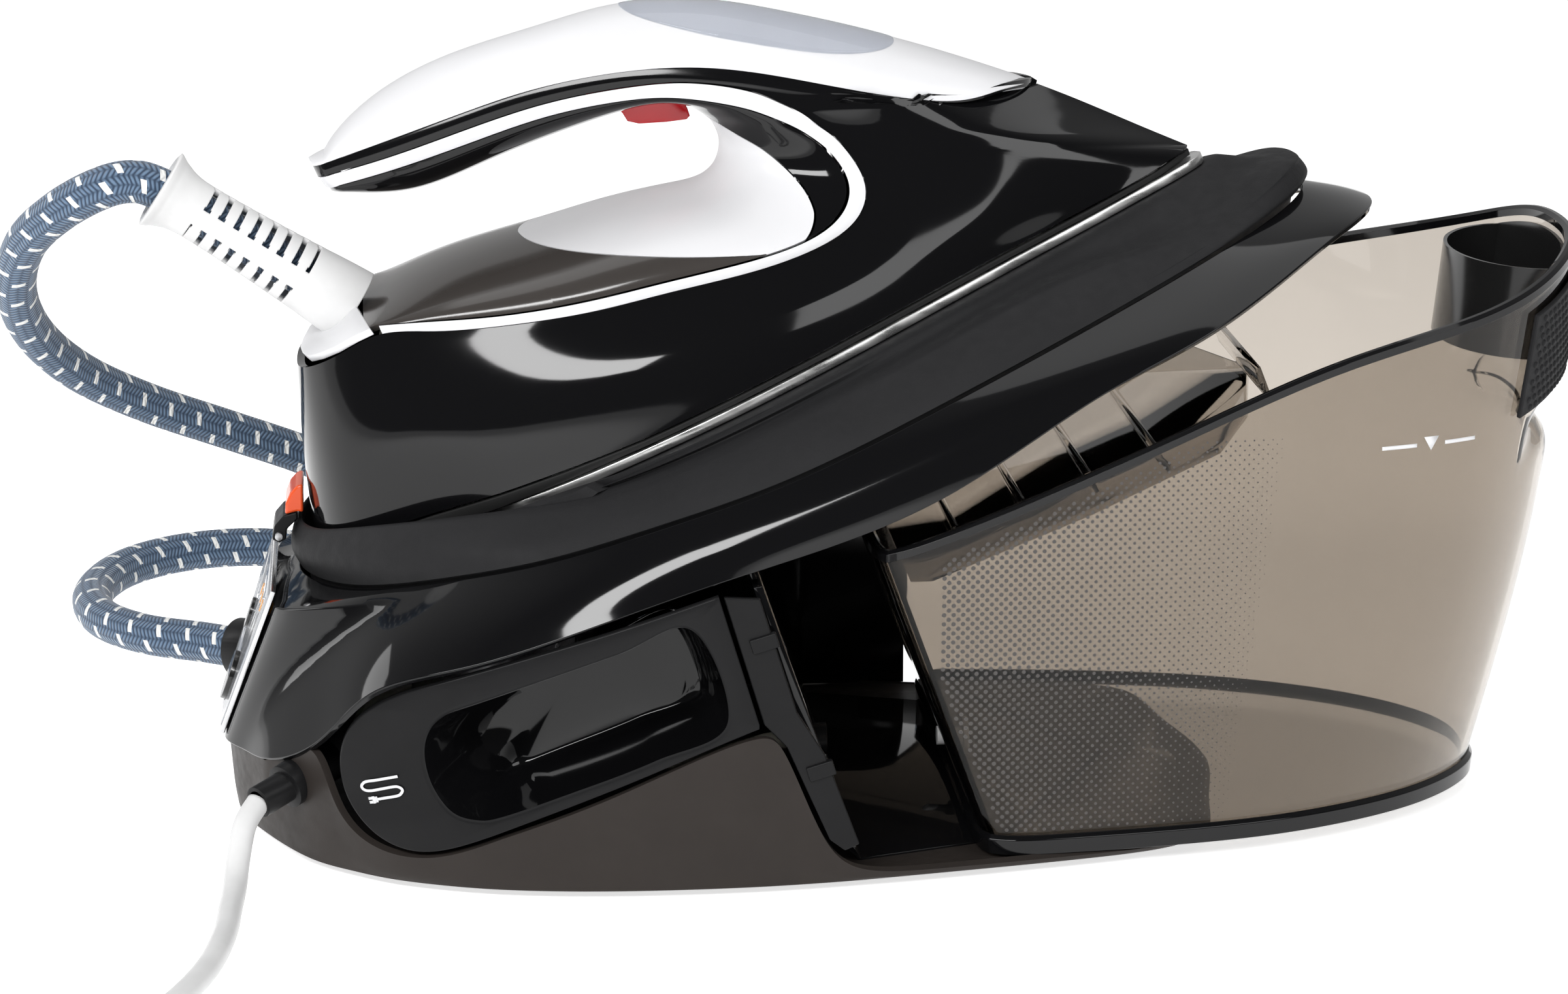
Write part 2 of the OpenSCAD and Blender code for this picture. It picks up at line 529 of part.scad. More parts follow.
function floor_ring(loop, y, inset) =
    let (c = [-108, 54]) [for (p = smooth_loop(loop, 3))
        let (q = p + inset * unit(c - p)) [q[0], y, q[1]]];
module cord_pocket() {
    color([0.06, 0.06, 0.06]) mirror([0, 1, 0])
    skin([
        floor_ring(pocket_mouth, pocket_floor_y - wall, 1.5),
        panel_ring(pocket_mouth, wall + 6), panel_ring(panel_border, wall),
        panel_ring(panel_border, 0), panel_ring(pocket_mouth, 0),
        floor_ring(pocket_mouth, pocket_floor_y, 4)]);
}
collector_place = [-118, 0, 44];
module service_panel() {
    color([0.06, 0.06, 0.06])
    difference() {
        skin([panel_ring([for (p = panel_border) p], wall), panel_ring(panel_border, 0)]);
        translate(collector_place) rotate([-90, 0, 0]) cylinder(h = 150, r = 16.3, $fn = 64);
    }
}
collector_face_y = 108;
module calc_collector() {
    color([0.25, 0.25, 0.27])
    translate(collector_place) rotate([-90, 0, 0]) {
        translate([0, 0, 104]) cylinder(h = collector_face_y - 104, r = 16, $fn = 64);
        translate([0, 0, 62]) cylinder(h = 42, r = 9, $fn = 48);
        translate([-13, -2.5, collector_face_y - 1]) cube([26, 5, 3.5]);
    }
}
socket_axis = [0, -20, 22];
module bay_profile(points, width) {
    rotate([90, 0, 0]) linear_extrude(width, center = true) polygon(points);
}
module bay_liner() {
    color([0.03, 0.03, 0.03])
    difference() {
        union() {
            intersection() {
                bay_profile([[92, 4.1], [-21, 4.1], [-26, 10], [-58.5, 105], [-51, 115],
                    [86, 168], [86, 165.6], [-49.5, 112.9], [-55.7, 104.4], [-23.8, 11.6],
                    [-20.5, 5], [92, 5]], 220);
                linear_extrude(260) polygon(mirrored([[92, 0], [86, 40], [60, 60], [20, 76],
                    [-20, 90], [-45, 92], [-70, 92], [-70, 0]]));
            }
            bay_profile([[-26, 12], [-54, 94], [-51.3, 94.5], [-22.9, 12]], 202);
        }
        translate(socket_axis) rotate([0, 90, 0]) cylinder(h = 100, r = 5.1, center = true, $fn = 48);
    }
}
panel_low = [-214.6, 0, 30];
panel_high = [-197, 0, 79];
panel_lean = atan2(panel_high[0] - panel_low[0], panel_high[2] - panel_low[2]);
module on_panel() {
    translate(panel_low) rotate([0, panel_lean, 0]) children();
}
module trapezoid(low_w, high_w, h, inset, depth) {
    rotate([90, 0, 90]) translate([0, 0, -depth]) linear_extrude(depth)
        polygon([[-low_w + inset, inset], [low_w - inset, inset],
            [high_w - inset, h - inset], [-high_w + inset, h - inset]]);
}
module panel_bezel() {
    color("silver") on_panel()
    difference() {
        trapezoid(25, 38, 52, 0, 1.6);
        translate([1, 0, 0]) trapezoid(25, 38, 52, 1.6, 4);
    }
}
button_place = [-0.2, 0, 12];
ok_place = [-0.2, 13, 30];
module control_panel() {
    color([0.6, 0.62, 0.63]) on_panel()
    difference() {
        translate([-0.3, 0, 0]) trapezoid(25, 38, 52, 1.8, 1.6);
        translate(button_place) rotate([0, 90, 0]) cylinder(h = 20, r = 8.2, center = true, $fn = 48);
        translate(ok_place) rotate([0, 90, 0]) cylinder(h = 20, r = 5.2, center = true, $fn = 48);
        for (i = [0 : 2])
            translate([0, -20 + 10 * i, 42]) rotate([0, 90, 0])
            cylinder(h = 20, r = 2.1, center = true, $fn = 32);
    }
}
module power_button() {
    color([0.1, 0.1, 0.1]) on_panel()
    translate(button_place) rotate([0, -90, 0]) translate([0, 0, -1.4]) cylinder(h = 4.6, r = 8, $fn = 48);
}
module ok_button() {
    color([0.3, 0.3, 0.3]) on_panel()
    translate(ok_place) rotate([0, -90, 0]) translate([0, 0, -1.4]) cylinder(h = 4, r = 5, $fn = 48);
}
module indicator_lamps() {
    color("orange") on_panel()
    for (i = [0 : 2])
        translate([0.2, -20 + 10 * i, 42]) rotate([0, -90, 0]) cylinder(h = 2.2, r = 2, $fn = 32);
}
module control_board() {
    color("darkgreen") on_panel() {
        translate([8, -24, 4]) cube([1.6, 48, 44]);
        translate([9.6, -14, 10]) cube([9, 18, 14]);
        translate([9.6, 8, 26]) cube([6, 10, 12]);
    }
}
gland_rear = [-181.5, -59, 31.8];
module cord_gland() {
    color([0.05, 0.05, 0.05])
    difference() {
        union() {
            rod(gland_rear, [-195, -71, 26.4], 7);
            rod([-194, -70, 27], [-203, -78, 24], 5);
        }
        rod([-185, -62, 30.3] + [3, 2.6, 1], [-206, -80.6, 23], 3.65);
    }
}
module hose_gland() {
    color([0.05, 0.05, 0.05])
    difference() {
        rod([-190, 44, 36], [-212, 60, 34], 10);
        rod([-186, 41.1, 36.4], [-216, 62.9, 33.6], 6.8);
    }
}
lock_pivot = [-196.2, 0, 90];
module lock_pin() {
    color("silver") translate(lock_pivot) rotate([90, 0, 0]) cylinder(h = 24, r = 1.2, center = true, $fn = 24);
}
module lock_tab() {
    color([0.85, 0.2, 0.08])
    difference() {
        union() {
            across(lock_pivot, 20, 2.4);
            translate(lock_pivot) rotate([90, 0, 0]) linear_extrude(20, center = true)
                polygon([[-2.3, 0], [1.8, 0], [2.2, 5], [5.2, 9], [6.2, 13.5], [3.5, 14.5], [0, 11]]);
        }
        across(lock_pivot, 40, 1.25);
    }
}
boiler_centre = [-122, 16, 26];
module boiler() {
    color("lightsteelblue")
    translate(boiler_centre)
    difference() {
        union() {
            cylinder(h = 38, r = 37, $fn = 96);
            translate([4, 34, 18]) rotate([-90, 0, 0]) cylinder(h = 12, r = 12, $fn = 48);
        }
        translate([0, 0, 2]) cylinder(h = 34, r = 35, $fn = 96);
        translate([4, 30, 18]) rotate([-90, 0, 0]) cylinder(h = 30, r = 9.05, $fn = 48);
    }
}
module boiler_heater() {
    color("dimgray")
    translate(boiler_centre - [0, 0, 3.8]) {
        rotate_extrude(angle = 320, $fn = 64) translate([26, 0]) circle(3.6, $fn = 24);
    }
}
module safety_valve() {
    color("gold") translate(boiler_centre + [16, -14, 38.2]) {
        cylinder(h = 6, r = 5, $fn = 6);
        cylinder(h = 11, r = 3.2, $fn = 32);
    }
}
module solenoid_valve() {
    color("steelblue") translate(boiler_centre + [-12, -8, 38.2]) {
        translate([-8, -8, 0]) cube([16, 16, 9]);
        translate([0, 0, 9]) cylinder(h = 5, r = 4, $fn = 32);
    }
}
module pump() {
    color("slategray") {
        rod([-152, -45, 24], [-112, -45, 24], 14);
        rod([-112, -45, 24], [-92, -45, 24], 8);
        rod([-92, -45, 24], [-84, -45, 24], 3.4);
        rod([-160, -45, 24], [-152, -45, 24], 3.4);
    }
}
module water_pipe() {
    color("ivory") {
        tube(smooth([[-36.7, -20, 22], [-44, -21, 21.5], [-56, -27, 20], [-68, -38, 21],
            [-76, -44, 23.5], [-83.4, -45, 24]], 2), 6, 8);
        tube(smooth([[-161.3, -45, 24], [-168, -43, 24.6], [-172, -32, 30], [-170, -18, 34],
            [-164, -4, 36], [-156.9, 2, 37]], 2), 6, 8);
    }
}
module steam_pipe() {
    color("tan")
    tube(smooth([[-142.6, 8, 70.3], [-151, 8.4, 70.3], [-161, 13, 69.5], [-169, 21, 62],
        [-179, 33, 47], [-187, 41.8, 36.6]], 2), 6, 8);
}
module tank_socket() {
    color([0.05, 0.05, 0.05])
    difference() {
        union() {
            rod([-36.5, -20, 22], [-24.3, -20, 22], 5);
            rod([-36.5, -20, 22], [-34.8, -20, 22], 9);
        }
        rod([-36.6, -20, 22], [-20, -20, 22], 3);
    }
}
foot_places = [[-165, 60], [-165, -60], [-30, 85], [-30, -85], [70, 55], [70, -55]];
module feet() {
    color([0.1, 0.1, 0.1])
    for (p = foot_places)
        translate([p[0], p[1], 0]) cylinder(h = housing_floor_z, r = 8, $fn = 48);
}
module base_screws() {
    color("gray")
    for (p = [[-190, 0], [-100, 75], [-100, -75], [-45, 0]])
        translate([p[0], p[1], 4.2]) cylinder(h = 2.4, r = 3.4, $fn = 32);
}

// ---- Tank ----
function tank_level(t) =
    let (rim = smooth(tank_top, 3), foot = smooth(tank_foot, 3),
         belly = smooth([for (b = tank_belly) [b, 0]], 3))
    [for (i = [0 : len(rim) - 1])
        let (p = mix(foot[i], rim[i], t), o = out_at(foot, i, 80), b = belly[i][0] * sin(180 * t))
        [p[0] + o[0] * b, p[1] + o[1] * b, p[2]]];
valve_bore_r = 3.08;
tank_steps = [0.03, 0.2, 0.4, 0.6, 0.8, 1];
module tank_tub() {
    color([0.55, 0.5, 0.45, 0.5])
    difference() {
        skin(concat(
            [inset_ring(level(tank_level(0), 5.8), 1, 80)],
            [for (t = tank_steps) inset_ring(tank_level(t), 0, 80)],
            [for (t = [1, 0.8, 0.6, 0.4, 0.2, 0.06]) inset_ring(tank_level(t), tank_wall, 80)],
            [inset_ring(level(tank_level(0.03), 8.2), tank_wall + 2, 80)]));
        rod([0, -20, 22], [30, -20, 22], valve_bore_r);
    }
}
// Band round a half curve and its mirror image: each section is [outward, up] points.
module band(half, section) {
    rows = [for (i = [0 : len(half) - 1])
        let (o = out_at(half, i, 80), c = half[i])
        [for (s = section) [c[0] + o[0] * s[0], max(c[1], 0) + o[1] * s[0], c[2] + s[1]]]];
    back = [for (i = [len(rows) - 2 : -1 : 1]) [for (p = rows[i]) [p[0], -p[1], p[2]]]];
    skin(concat(rows, back), torus = true);
}
module tank_rim() {
    color([0.06, 0.05, 0.05])
    band(smooth(tank_top, 3), [[-2.6, 0.3], [-2.6, 3.2], [-1, 4.4], [1.2, 4.4], [2.6, 3], [2.6, 0.3]]);
}
module tank_skirt() {
    color([0.06, 0.05, 0.05])
    band([for (p = smooth(tank_foot, 3)) [p[0], p[1], 5.2]],
        [[0.4, 0], [2.2, 0.2], [2.6, 5], [1.4, 6.4], [0.8, 6.2]]);
}
module tank_cover() {
    color([0.5, 0.45, 0.4, 0.5])
    translate([-6, 0, 88]) rotate([0, -21.4, 0]) {
        linear_extrude(2) polygon(mirrored([[128, 0], [118, 48], [104, 74], [60, 84], [8, 86], [2, 78], [2, 0]]));
        for (i = [0 : 3])
            translate([20 + 22 * i, -60, 1.9]) cube([2, 120, 4]);
        translate([126, -40, 1.9]) cube([2, 80, 9]);
    }
}
// A point of the tank's nose: u steps round from the middle, t of the way up, lifted off the skin.
function tank_nose(u, t, lift) =
    let (foot = at(tank_foot, u), rim = at(tank_top, u), p = mix(foot, rim, t),
         d = at(tank_foot, u + 0.1) - at(tank_foot, max(u - 0.1, 0)),
         o = u < 0.01 ? [1, 0] : unit([d[1], -d[0]]),
         reach = tank_belly[0] * sin(180 * t) + lift)
    [p[0] + o[0] * reach, u < 0.01 ? 0 : p[1] + o[1] * reach, p[2]];
grip_thickness = 1.6;
module tank_grip() {
    color([0.04, 0.04, 0.04])
    cover([for (i = [0 : 8]) [for (j = [0 : 4])
        tank_nose(0.17 * i, 0.96 - 0.05 * j, 0.5 + grip_thickness)]], grip_thickness);
}
module tank_valve() {
    color([0.85, 0.85, 0.85]) {
        rod([11.2, -20, 22], [18.8, -20, 22], 3);
        rod([18.8, -20, 22], [20.6, -20, 22], 6);
    }
}

// ---- Cords ----
module steam_hose_upper() {
    color([0.35, 0.42, 0.52]) tube(smooth(hose_upper_route, 2), hose_d);
}
module steam_hose_lower() {
    color([0.35, 0.42, 0.52]) {
        tube(smooth(hose_lower_route, 2), hose_d);
        tube(smooth(hose_return_route, 2), hose_d);
    }
}
module hose_coil() {
    color([0.35, 0.42, 0.52]) translate(hose_coil_centre + [0, 0, 0.3])
    rotate_extrude($fn = 72) translate([hose_coil_inner, 0]) square([hose_coil_width, hose_d]);
}
module mains_cord() {
    color("white") {
        tube(smooth(lead_route, 2), lead_d, 8);
        tube(smooth(lead_tail_route, 2), lead_d, 8);
    }
}
module mains_coil() {
    color("white") translate(lead_coil_centre)
    rotate_extrude($fn = 72) translate([28.8, 0]) square([21.6, 14.4]);
}
module mains_plug() {
    color("white") translate(plug_rear) rotate([0, 90, 0]) {
        difference() {
            union() {
                cylinder(h = 12, r = 5, $fn = 48);
                translate([0, 0, 12]) cylinder(h = 26, r = 13.4, $fn = 64);
            }
            translate([0, 0, -1]) cylinder(h = 8, r = 3.7, $fn = 32);
        }
        for (side = [-1, 1])
            translate([0, side * 9.5, 38]) cylinder(h = 19, r = 2.4, $fn = 32);
    }
}

soleplate();
sole_casting();
sole_heater();
steam_chamber_cover();
sole_thermostat();
heat_skirt();
iron_shell();
handle_top_cover();
top_lens();
handle_trim();
grip_cover();
saddle_cover();
heel_deck();
steam_trigger();
trigger_pin();
trigger_spring();
trigger_switch();
heel_collar();
hose_sleeve();
iron_screws();
iron_steam_tube();
lower_housing();
upper_shell();
iron_rest();
cord_pocket();
service_panel();
calc_collector();
bay_liner();
control_panel();
panel_bezel();
power_button();
ok_button();
indicator_lamps();
control_board();
cord_gland();
hose_gland();
lock_tab();
lock_pin();
boiler();
boiler_heater();
safety_valve();
solenoid_valve();
pump();
water_pipe();
steam_pipe();
tank_socket();
feet();
base_screws();
tank_tub();
tank_rim();
tank_skirt();
tank_cover();
tank_grip();
tank_valve();
steam_hose_upper();
steam_hose_lower();
hose_coil();
mains_cord();
mains_coil();
mains_plug();
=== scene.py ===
"""Looks for a steam generator iron parked on its boiler base, with the water tank drawn out.

Curves are in millimetres and Blender is in metres: MM turns one into the other.
+X points at the tank, +Y away from the side with the cord pocket, +Z up.
"""

import json
import math

import bmesh
import bpy
import numpy as np
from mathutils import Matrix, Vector

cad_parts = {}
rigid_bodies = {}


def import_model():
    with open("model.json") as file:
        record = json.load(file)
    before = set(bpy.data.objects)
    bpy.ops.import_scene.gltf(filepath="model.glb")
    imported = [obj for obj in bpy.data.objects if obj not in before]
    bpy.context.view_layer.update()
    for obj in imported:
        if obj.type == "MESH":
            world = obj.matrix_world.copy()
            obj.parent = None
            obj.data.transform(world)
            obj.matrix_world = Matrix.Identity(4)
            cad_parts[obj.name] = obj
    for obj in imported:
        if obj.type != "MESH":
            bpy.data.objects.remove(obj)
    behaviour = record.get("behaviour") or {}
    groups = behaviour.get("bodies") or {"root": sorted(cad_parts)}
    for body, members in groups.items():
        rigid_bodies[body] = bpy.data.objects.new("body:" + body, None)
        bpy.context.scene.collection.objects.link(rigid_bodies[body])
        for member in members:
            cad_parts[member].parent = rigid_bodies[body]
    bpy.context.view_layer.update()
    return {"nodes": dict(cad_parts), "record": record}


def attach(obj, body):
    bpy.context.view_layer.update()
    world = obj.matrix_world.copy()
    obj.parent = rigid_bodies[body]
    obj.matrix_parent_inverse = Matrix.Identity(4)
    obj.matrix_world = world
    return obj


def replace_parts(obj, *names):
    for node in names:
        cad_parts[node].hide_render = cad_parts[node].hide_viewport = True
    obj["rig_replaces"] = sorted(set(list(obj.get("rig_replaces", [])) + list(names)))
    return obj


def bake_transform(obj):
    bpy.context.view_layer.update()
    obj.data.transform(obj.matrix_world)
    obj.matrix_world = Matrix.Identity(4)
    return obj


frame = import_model()

MM = 0.001
SLOPE = math.radians(23.4)
SOLE_TIP = np.array([97, 0, 203.4])
ON_MIDDLE = 0.01


# ---- Camera, light and floor ----

def studio():
    azimuth, elevation, distance = math.radians(-5), math.radians(14), 1.5
    target = Vector((-0.036, 0, 0.0965))
    back = Vector((
        math.sin(azimuth) * math.cos(elevation),
        -math.cos(azimuth) * math.cos(elevation),
        math.sin(elevation),
    ))
    camera = bpy.data.objects.new("camera", bpy.data.cameras.new("camera"))
    camera.location = target + back * distance
    camera.rotation_euler = (-back).to_track_quat("-Z", "Y").to_euler()
    camera.data.lens = 108
    camera.data.sensor_width = 36
    bpy.context.scene.collection.objects.link(camera)
    bpy.context.scene.camera = camera
    bpy.context.scene.view_settings.view_transform = "Standard"

    for name, place, size, power in (
        ("key_box", (-0.75, -1.35, 1.15), (1.5, 0.32), 29),
        ("nose_box", (1.0, -1.2, 1.1), (0.9, 0.7), 8),
        ("top_box", (0.05, 0.25, 1.6), (1.6, 0.9), 6),
        ("rear_box", (-1.5, 0.5, 0.6), (0.4, 0.9), 4),
    ):
        light = bpy.data.lights.new(name, "AREA")
        light.shape = "RECTANGLE"
        light.size, light.size_y = size
        light.energy = power
        holder = bpy.data.objects.new(name, light)
        holder.location = place
        aim = Vector((0, 0, 0.12)) - Vector(place)
        holder.rotation_euler = aim.to_track_quat("-Z", "Y").to_euler()
        bpy.context.scene.collection.objects.link(holder)


def sky():
    """White where it is seen directly; otherwise bright behind the object and dim in front."""
    world = bpy.data.worlds.new("studio")
    world.use_nodes = True
    bpy.context.scene.world = world
    links = world.node_tree.links
    world.node_tree.nodes.clear()
    place = node_in(world, "ShaderNodeTexCoord")
    parts = node_in(world, "ShaderNodeSeparateXYZ")
    links.new(place.outputs["Generated"], parts.inputs[0])
    ends = {"From Min": -0.35, "From Max": 0.45, "To Min": 0.07, "To Max": 0.45}
    ramp = node_in(world, "ShaderNodeMapRange", ends)
    links.new(parts.outputs["Y"], ramp.inputs["Value"])
    path = node_in(world, "ShaderNodeLightPath")
    strength = node_in(world, "ShaderNodeMix", {3: 1.0})
    links.new(path.outputs["Is Camera Ray"], strength.inputs[0])
    links.new(ramp.outputs["Result"], strength.inputs[2])
    shade = node_in(world, "ShaderNodeBackground", {"Color": (1, 1, 1, 1)})
    links.new(strength.outputs[0], shade.inputs["Strength"])
    out = node_in(world, "ShaderNodeOutputWorld")
    links.new(shade.outputs[0], out.inputs["Surface"])


def floor():
    half = 6
    corners = [(-half, -half, 0), (half, -half, 0), (half, half, 0), (-half, half, 0)]
    mesh = bpy.data.meshes.new("floor")
    mesh.from_pydata(corners, [], [(0, 1, 2, 3)])
    ground = bpy.data.objects.new("floor", mesh)
    bpy.context.scene.collection.objects.link(ground)
    paint, shader = plain_shader("floor", (0.9, 0.9, 0.9), 0.8)
    shader.inputs["Emission Color"].default_value = (1, 1, 1, 1)
    shader.inputs["Emission Strength"].default_value = 0.7
    mesh.materials.append(paint)


# ---- Materials ----

def plain_shader(name, colour, roughness, metallic=0.0, specular=0.5):
    made = bpy.data.materials.new(name)
    made.use_nodes = True
    shader = made.node_tree.nodes["Principled BSDF"]
    shader.inputs["Base Color"].default_value = (*colour, 1)
    shader.inputs["Roughness"].default_value = roughness
    shader.inputs["Metallic"].default_value = metallic
    shader.inputs["Specular IOR Level"].default_value = specular
    return made, shader


def node_in(owner, kind, values=()):
    """Node in a material's or world's tree, with the given inputs set."""
    node = owner.node_tree.nodes.new(kind)
    for key, value in dict(values).items():
        node.inputs[key].default_value = value
    return node


def noise(made, scale, detail=3.0, stretch=(1, 1, 1)):
    """Noise in the piece's own space, scale in cells per metre."""
    links = made.node_tree.links
    place = node_in(made, "ShaderNodeTexCoord")
    mapping = node_in(made, "ShaderNodeMapping", {"Scale": stretch})
    links.new(place.outputs["Object"], mapping.inputs["Vector"])
    grain = node_in(made, "ShaderNodeTexNoise", {"Scale": scale, "Detail": detail})
    links.new(mapping.outputs[0], grain.inputs["Vector"])
    return grain.outputs["Fac"]


def vary(made, shader, socket, source, low, high):
    """Drives a shader input between low and high by a noise."""
    ends = {"From Min": 0.3, "From Max": 0.7, "To Min": low, "To Max": high}
    spread = node_in(made, "ShaderNodeMapRange", ends)
    made.node_tree.links.new(source, spread.inputs["Value"])
    made.node_tree.links.new(spread.outputs["Result"], shader.inputs[socket])


def mix_colours(made, share, first, second):
    """Mixes two colours by a share; the first may be another node's output."""
    blend = node_in(made, "ShaderNodeMix")
    blend.data_type = "RGBA"
    made.node_tree.links.new(share, blend.inputs[0])
    if isinstance(first, bpy.types.NodeSocket):
        made.node_tree.links.new(first, blend.inputs[6])
    else:
        blend.inputs[6].default_value = (*first, 1)
    blend.inputs[7].default_value = (*second, 1)
    return blend.outputs[2]


def tint(made, shader, source, colour, low, high):
    """Varies the base colour by a noise between two multiples of it."""
    dark, light = ([min(1, c * share) for c in colour] for share in (low, high))
    mixed = mix_colours(made, source, dark, light)
    made.node_tree.links.new(mixed, shader.inputs["Base Color"])


def relief(made, shader, source, height, strength=1.0):
    """Bump of that height in metres."""
    bump = node_in(made, "ShaderNodeBump", {"Strength": strength, "Distance": height})
    made.node_tree.links.new(source, bump.inputs["Height"])
    made.node_tree.links.new(bump.outputs[0], shader.inputs["Normal"])


def gloss(name, colour, specular=0.5, roughness=0.07):
    """Polished moulding: faint polishing marks, a slight swell as moulded plastic has."""
    made, shader = plain_shader(name, colour, roughness, specular=specular)
    vary(made, shader, "Roughness", noise(made, 90, 4), roughness * 0.92, roughness * 1.12)
    tint(made, shader, noise(made, 25), colour, 0.94, 1.05)
    relief(made, shader, noise(made, 45, 1), 0.00001, 0.4)
    return made


def satin(name, colour, roughness, grain=1400, height=0.00004, strength=0.5):
    """Spark-eroded moulding: a fine even grain and a little mottling."""
    made, shader = plain_shader(name, colour, roughness, specular=0.13)
    vary(made, shader, "Roughness", noise(made, 220, 4), roughness * 0.88, roughness * 1.12)
    tint(made, shader, noise(made, 60, 5), colour, 0.86, 1.14)
    relief(made, shader, noise(made, grain, 2), height, strength)
    return made


def metal(name, colour, roughness, stretch, scale=260):
    """Metal brushed along one direction."""
    made, shader = plain_shader(name, colour, roughness, metallic=1.0)
    lines = noise(made, scale, 6, stretch)
    vary(made, shader, "Roughness", lines, roughness * 0.7, roughness * 1.5)
    tint(made, shader, lines, colour, 0.93, 1.04)
    relief(made, shader, lines, 0.000004, 0.4)
    return made


def clear(name, colour, roughness):
    """Tinted see-through moulding, its refraction reduced because the walls are thin."""
    made, shader = plain_shader(name, colour, roughness)
    shader.inputs["Transmission Weight"].default_value = 1.0
    shader.inputs["IOR"].default_value = 1.3
    tint(made, shader, noise(made, 18, 2), colour, 0.97, 1.02)
    relief(made, shader, noise(made, 30, 1), 0.00003, 0.4)
    return made


def braid():
    """Textile hose cover: a fine herringbone in blue, lighter on the raised threads and darkened by
    painted shade in the grooves at the rib edges, and rows of white flecks.

    The tube's UV map holds turns round the hose and metres along it.
    """
    made, shader = plain_shader("hose_braid", (0.1, 0.16, 0.25), 0.75, specular=0.3)
    shader.inputs["Sheen Weight"].default_value = 0.35
    links = made.node_tree.links

    def maths(kind, a, b=0.0):
        node = node_in(made, "ShaderNodeMath")
        node.operation = kind
        for socket, value in zip(node.inputs, (a, b)):
            if isinstance(value, (int, float)):
                socket.default_value = value
            else:
                links.new(value, socket)
        return node.outputs[0]

    place = node_in(made, "ShaderNodeUVMap")
    parts = node_in(made, "ShaderNodeSeparateXYZ")
    links.new(place.outputs[0], parts.inputs[0])
    turn, along = parts.outputs["X"], parts.outputs["Y"]

    # Herringbone: 14 ribs round the hose, threads slanting up on one rib and down on the next.
    ribs = maths("MULTIPLY", turn, 14)
    zigzag = maths("PINGPONG", ribs, 1)
    slanted = maths("ADD", maths("MULTIPLY", along, 720), zigzag)
    threads = maths("SINE", maths("MULTIPLY", slanted, 2 * math.pi))
    # Each rib is high in the middle and low at its edges, and the colour darkens with it there:
    # painted shade in the grooves.
    rib_curve = maths("SINE", maths("MULTIPLY", maths("FRACT", ribs), math.pi))
    raised = maths("ADD", maths("MULTIPLY", threads, 0.5), 0.5)
    weave_height_and_shade = maths("MULTIPLY", raised, maths("ADD", rib_curve, 0.35))

    # Flecks: one every 11 mm in each of 7 rows, each row starting a little later than the last.
    row = maths("MULTIPLY", turn, 7)
    shift = maths("MULTIPLY", maths("FLOOR", row), 0.0036)
    step = maths("FRACT", maths("DIVIDE", maths("ADD", along, shift), 0.011))
    in_row = maths("FRACT", row)
    slant = maths("MULTIPLY", in_row, 0.16)
    near = maths("ABSOLUTE", maths("SUBTRACT", step, maths("ADD", slant, 0.2)))
    thin = maths("LESS_THAN", near, 0.075)
    short = maths("LESS_THAN", maths("ABSOLUTE", maths("SUBTRACT", in_row, 0.5)), 0.36)
    fleck = maths("MULTIPLY", thin, short)

    # Painted shade: the blue follows the weave's height, dark in the grooves at the rib edges and
    # lighter on the raised threads.
    shaded_blues = mix_colours(made, weave_height_and_shade, (0.018, 0.036, 0.07), (0.13, 0.2, 0.3))
    flecked = mix_colours(made, fleck, shaded_blues, (0.8, 0.8, 0.78))
    links.new(flecked, shader.inputs["Base Color"])
    relief(made, shader, maths("ADD", weave_height_and_shade, fleck), 0.0003, 0.7)
    return made


studio()
sky()
floor()

MATERIALS = {"hose_braid": braid()}
for make, looks in (
    (gloss, {
        "gloss_black": ((0.004, 0.004, 0.0045), 0.34, 0.06),
        "white_gloss": ((0.7, 0.7, 0.715), 0.3, 0.3),
        "smoked_deck": ((0.045, 0.04, 0.037), 0.5, 0.14),
        "panel_grey": ((0.36, 0.37, 0.39), 0.6, 0.1),
        "button_black": ((0.012, 0.012, 0.012), 0.5, 0.16),
        "lamp_amber": ((0.8, 0.35, 0.05), 0.5, 0.15),
        "trigger_red": ((0.5, 0.006, 0.012), 0.5, 0.14),
        "lock_orange": ((0.78, 0.09, 0.02), 0.5, 0.18),
    }),
    (satin, {
        "white_satin": ((0.7, 0.7, 0.7), 0.42, 700, 0.00002, 0.3),
        "white_pvc": ((0.66, 0.66, 0.66), 0.38, 500, 0.00002, 0.3),
        "textured_black": ((0.016, 0.016, 0.017), 0.6, 1500, 0.00009, 0.8),
        "heat_black": ((0.02, 0.02, 0.02), 0.5),
        "satin_black": ((0.009, 0.009, 0.0095), 0.36),
        "warm_grey": ((0.028, 0.0235, 0.021), 0.46),
        "circuit_green": ((0.02, 0.12, 0.04), 0.4),
        "rubber": ((0.02, 0.02, 0.02), 0.75),
        "silicone": ((0.6, 0.58, 0.5), 0.4),
        "pump_grey": ((0.2, 0.22, 0.24), 0.5),
    }),
    (metal, {
        "sole_metal": ((0.72, 0.72, 0.71), 0.28, (0.05, 1, 1)),
        "cast_aluminium": ((0.55, 0.55, 0.55), 0.5, (1, 1, 1), 500),
        "steel": ((0.55, 0.55, 0.56), 0.32, (1, 1, 0.1)),
        "silver_trim": ((0.66, 0.66, 0.67), 0.22, (1, 1, 0.1), 300),
        "brass": ((0.72, 0.5, 0.2), 0.3, (1, 1, 0.1)),
    }),
    (clear, {
        "lens": ((0.8, 0.84, 0.92), 0.04),
        "smoked_clear": ((0.5, 0.455, 0.405), 0.03),
    }),
):
    for name, look in looks.items():
        MATERIALS[name] = make(name, *look)


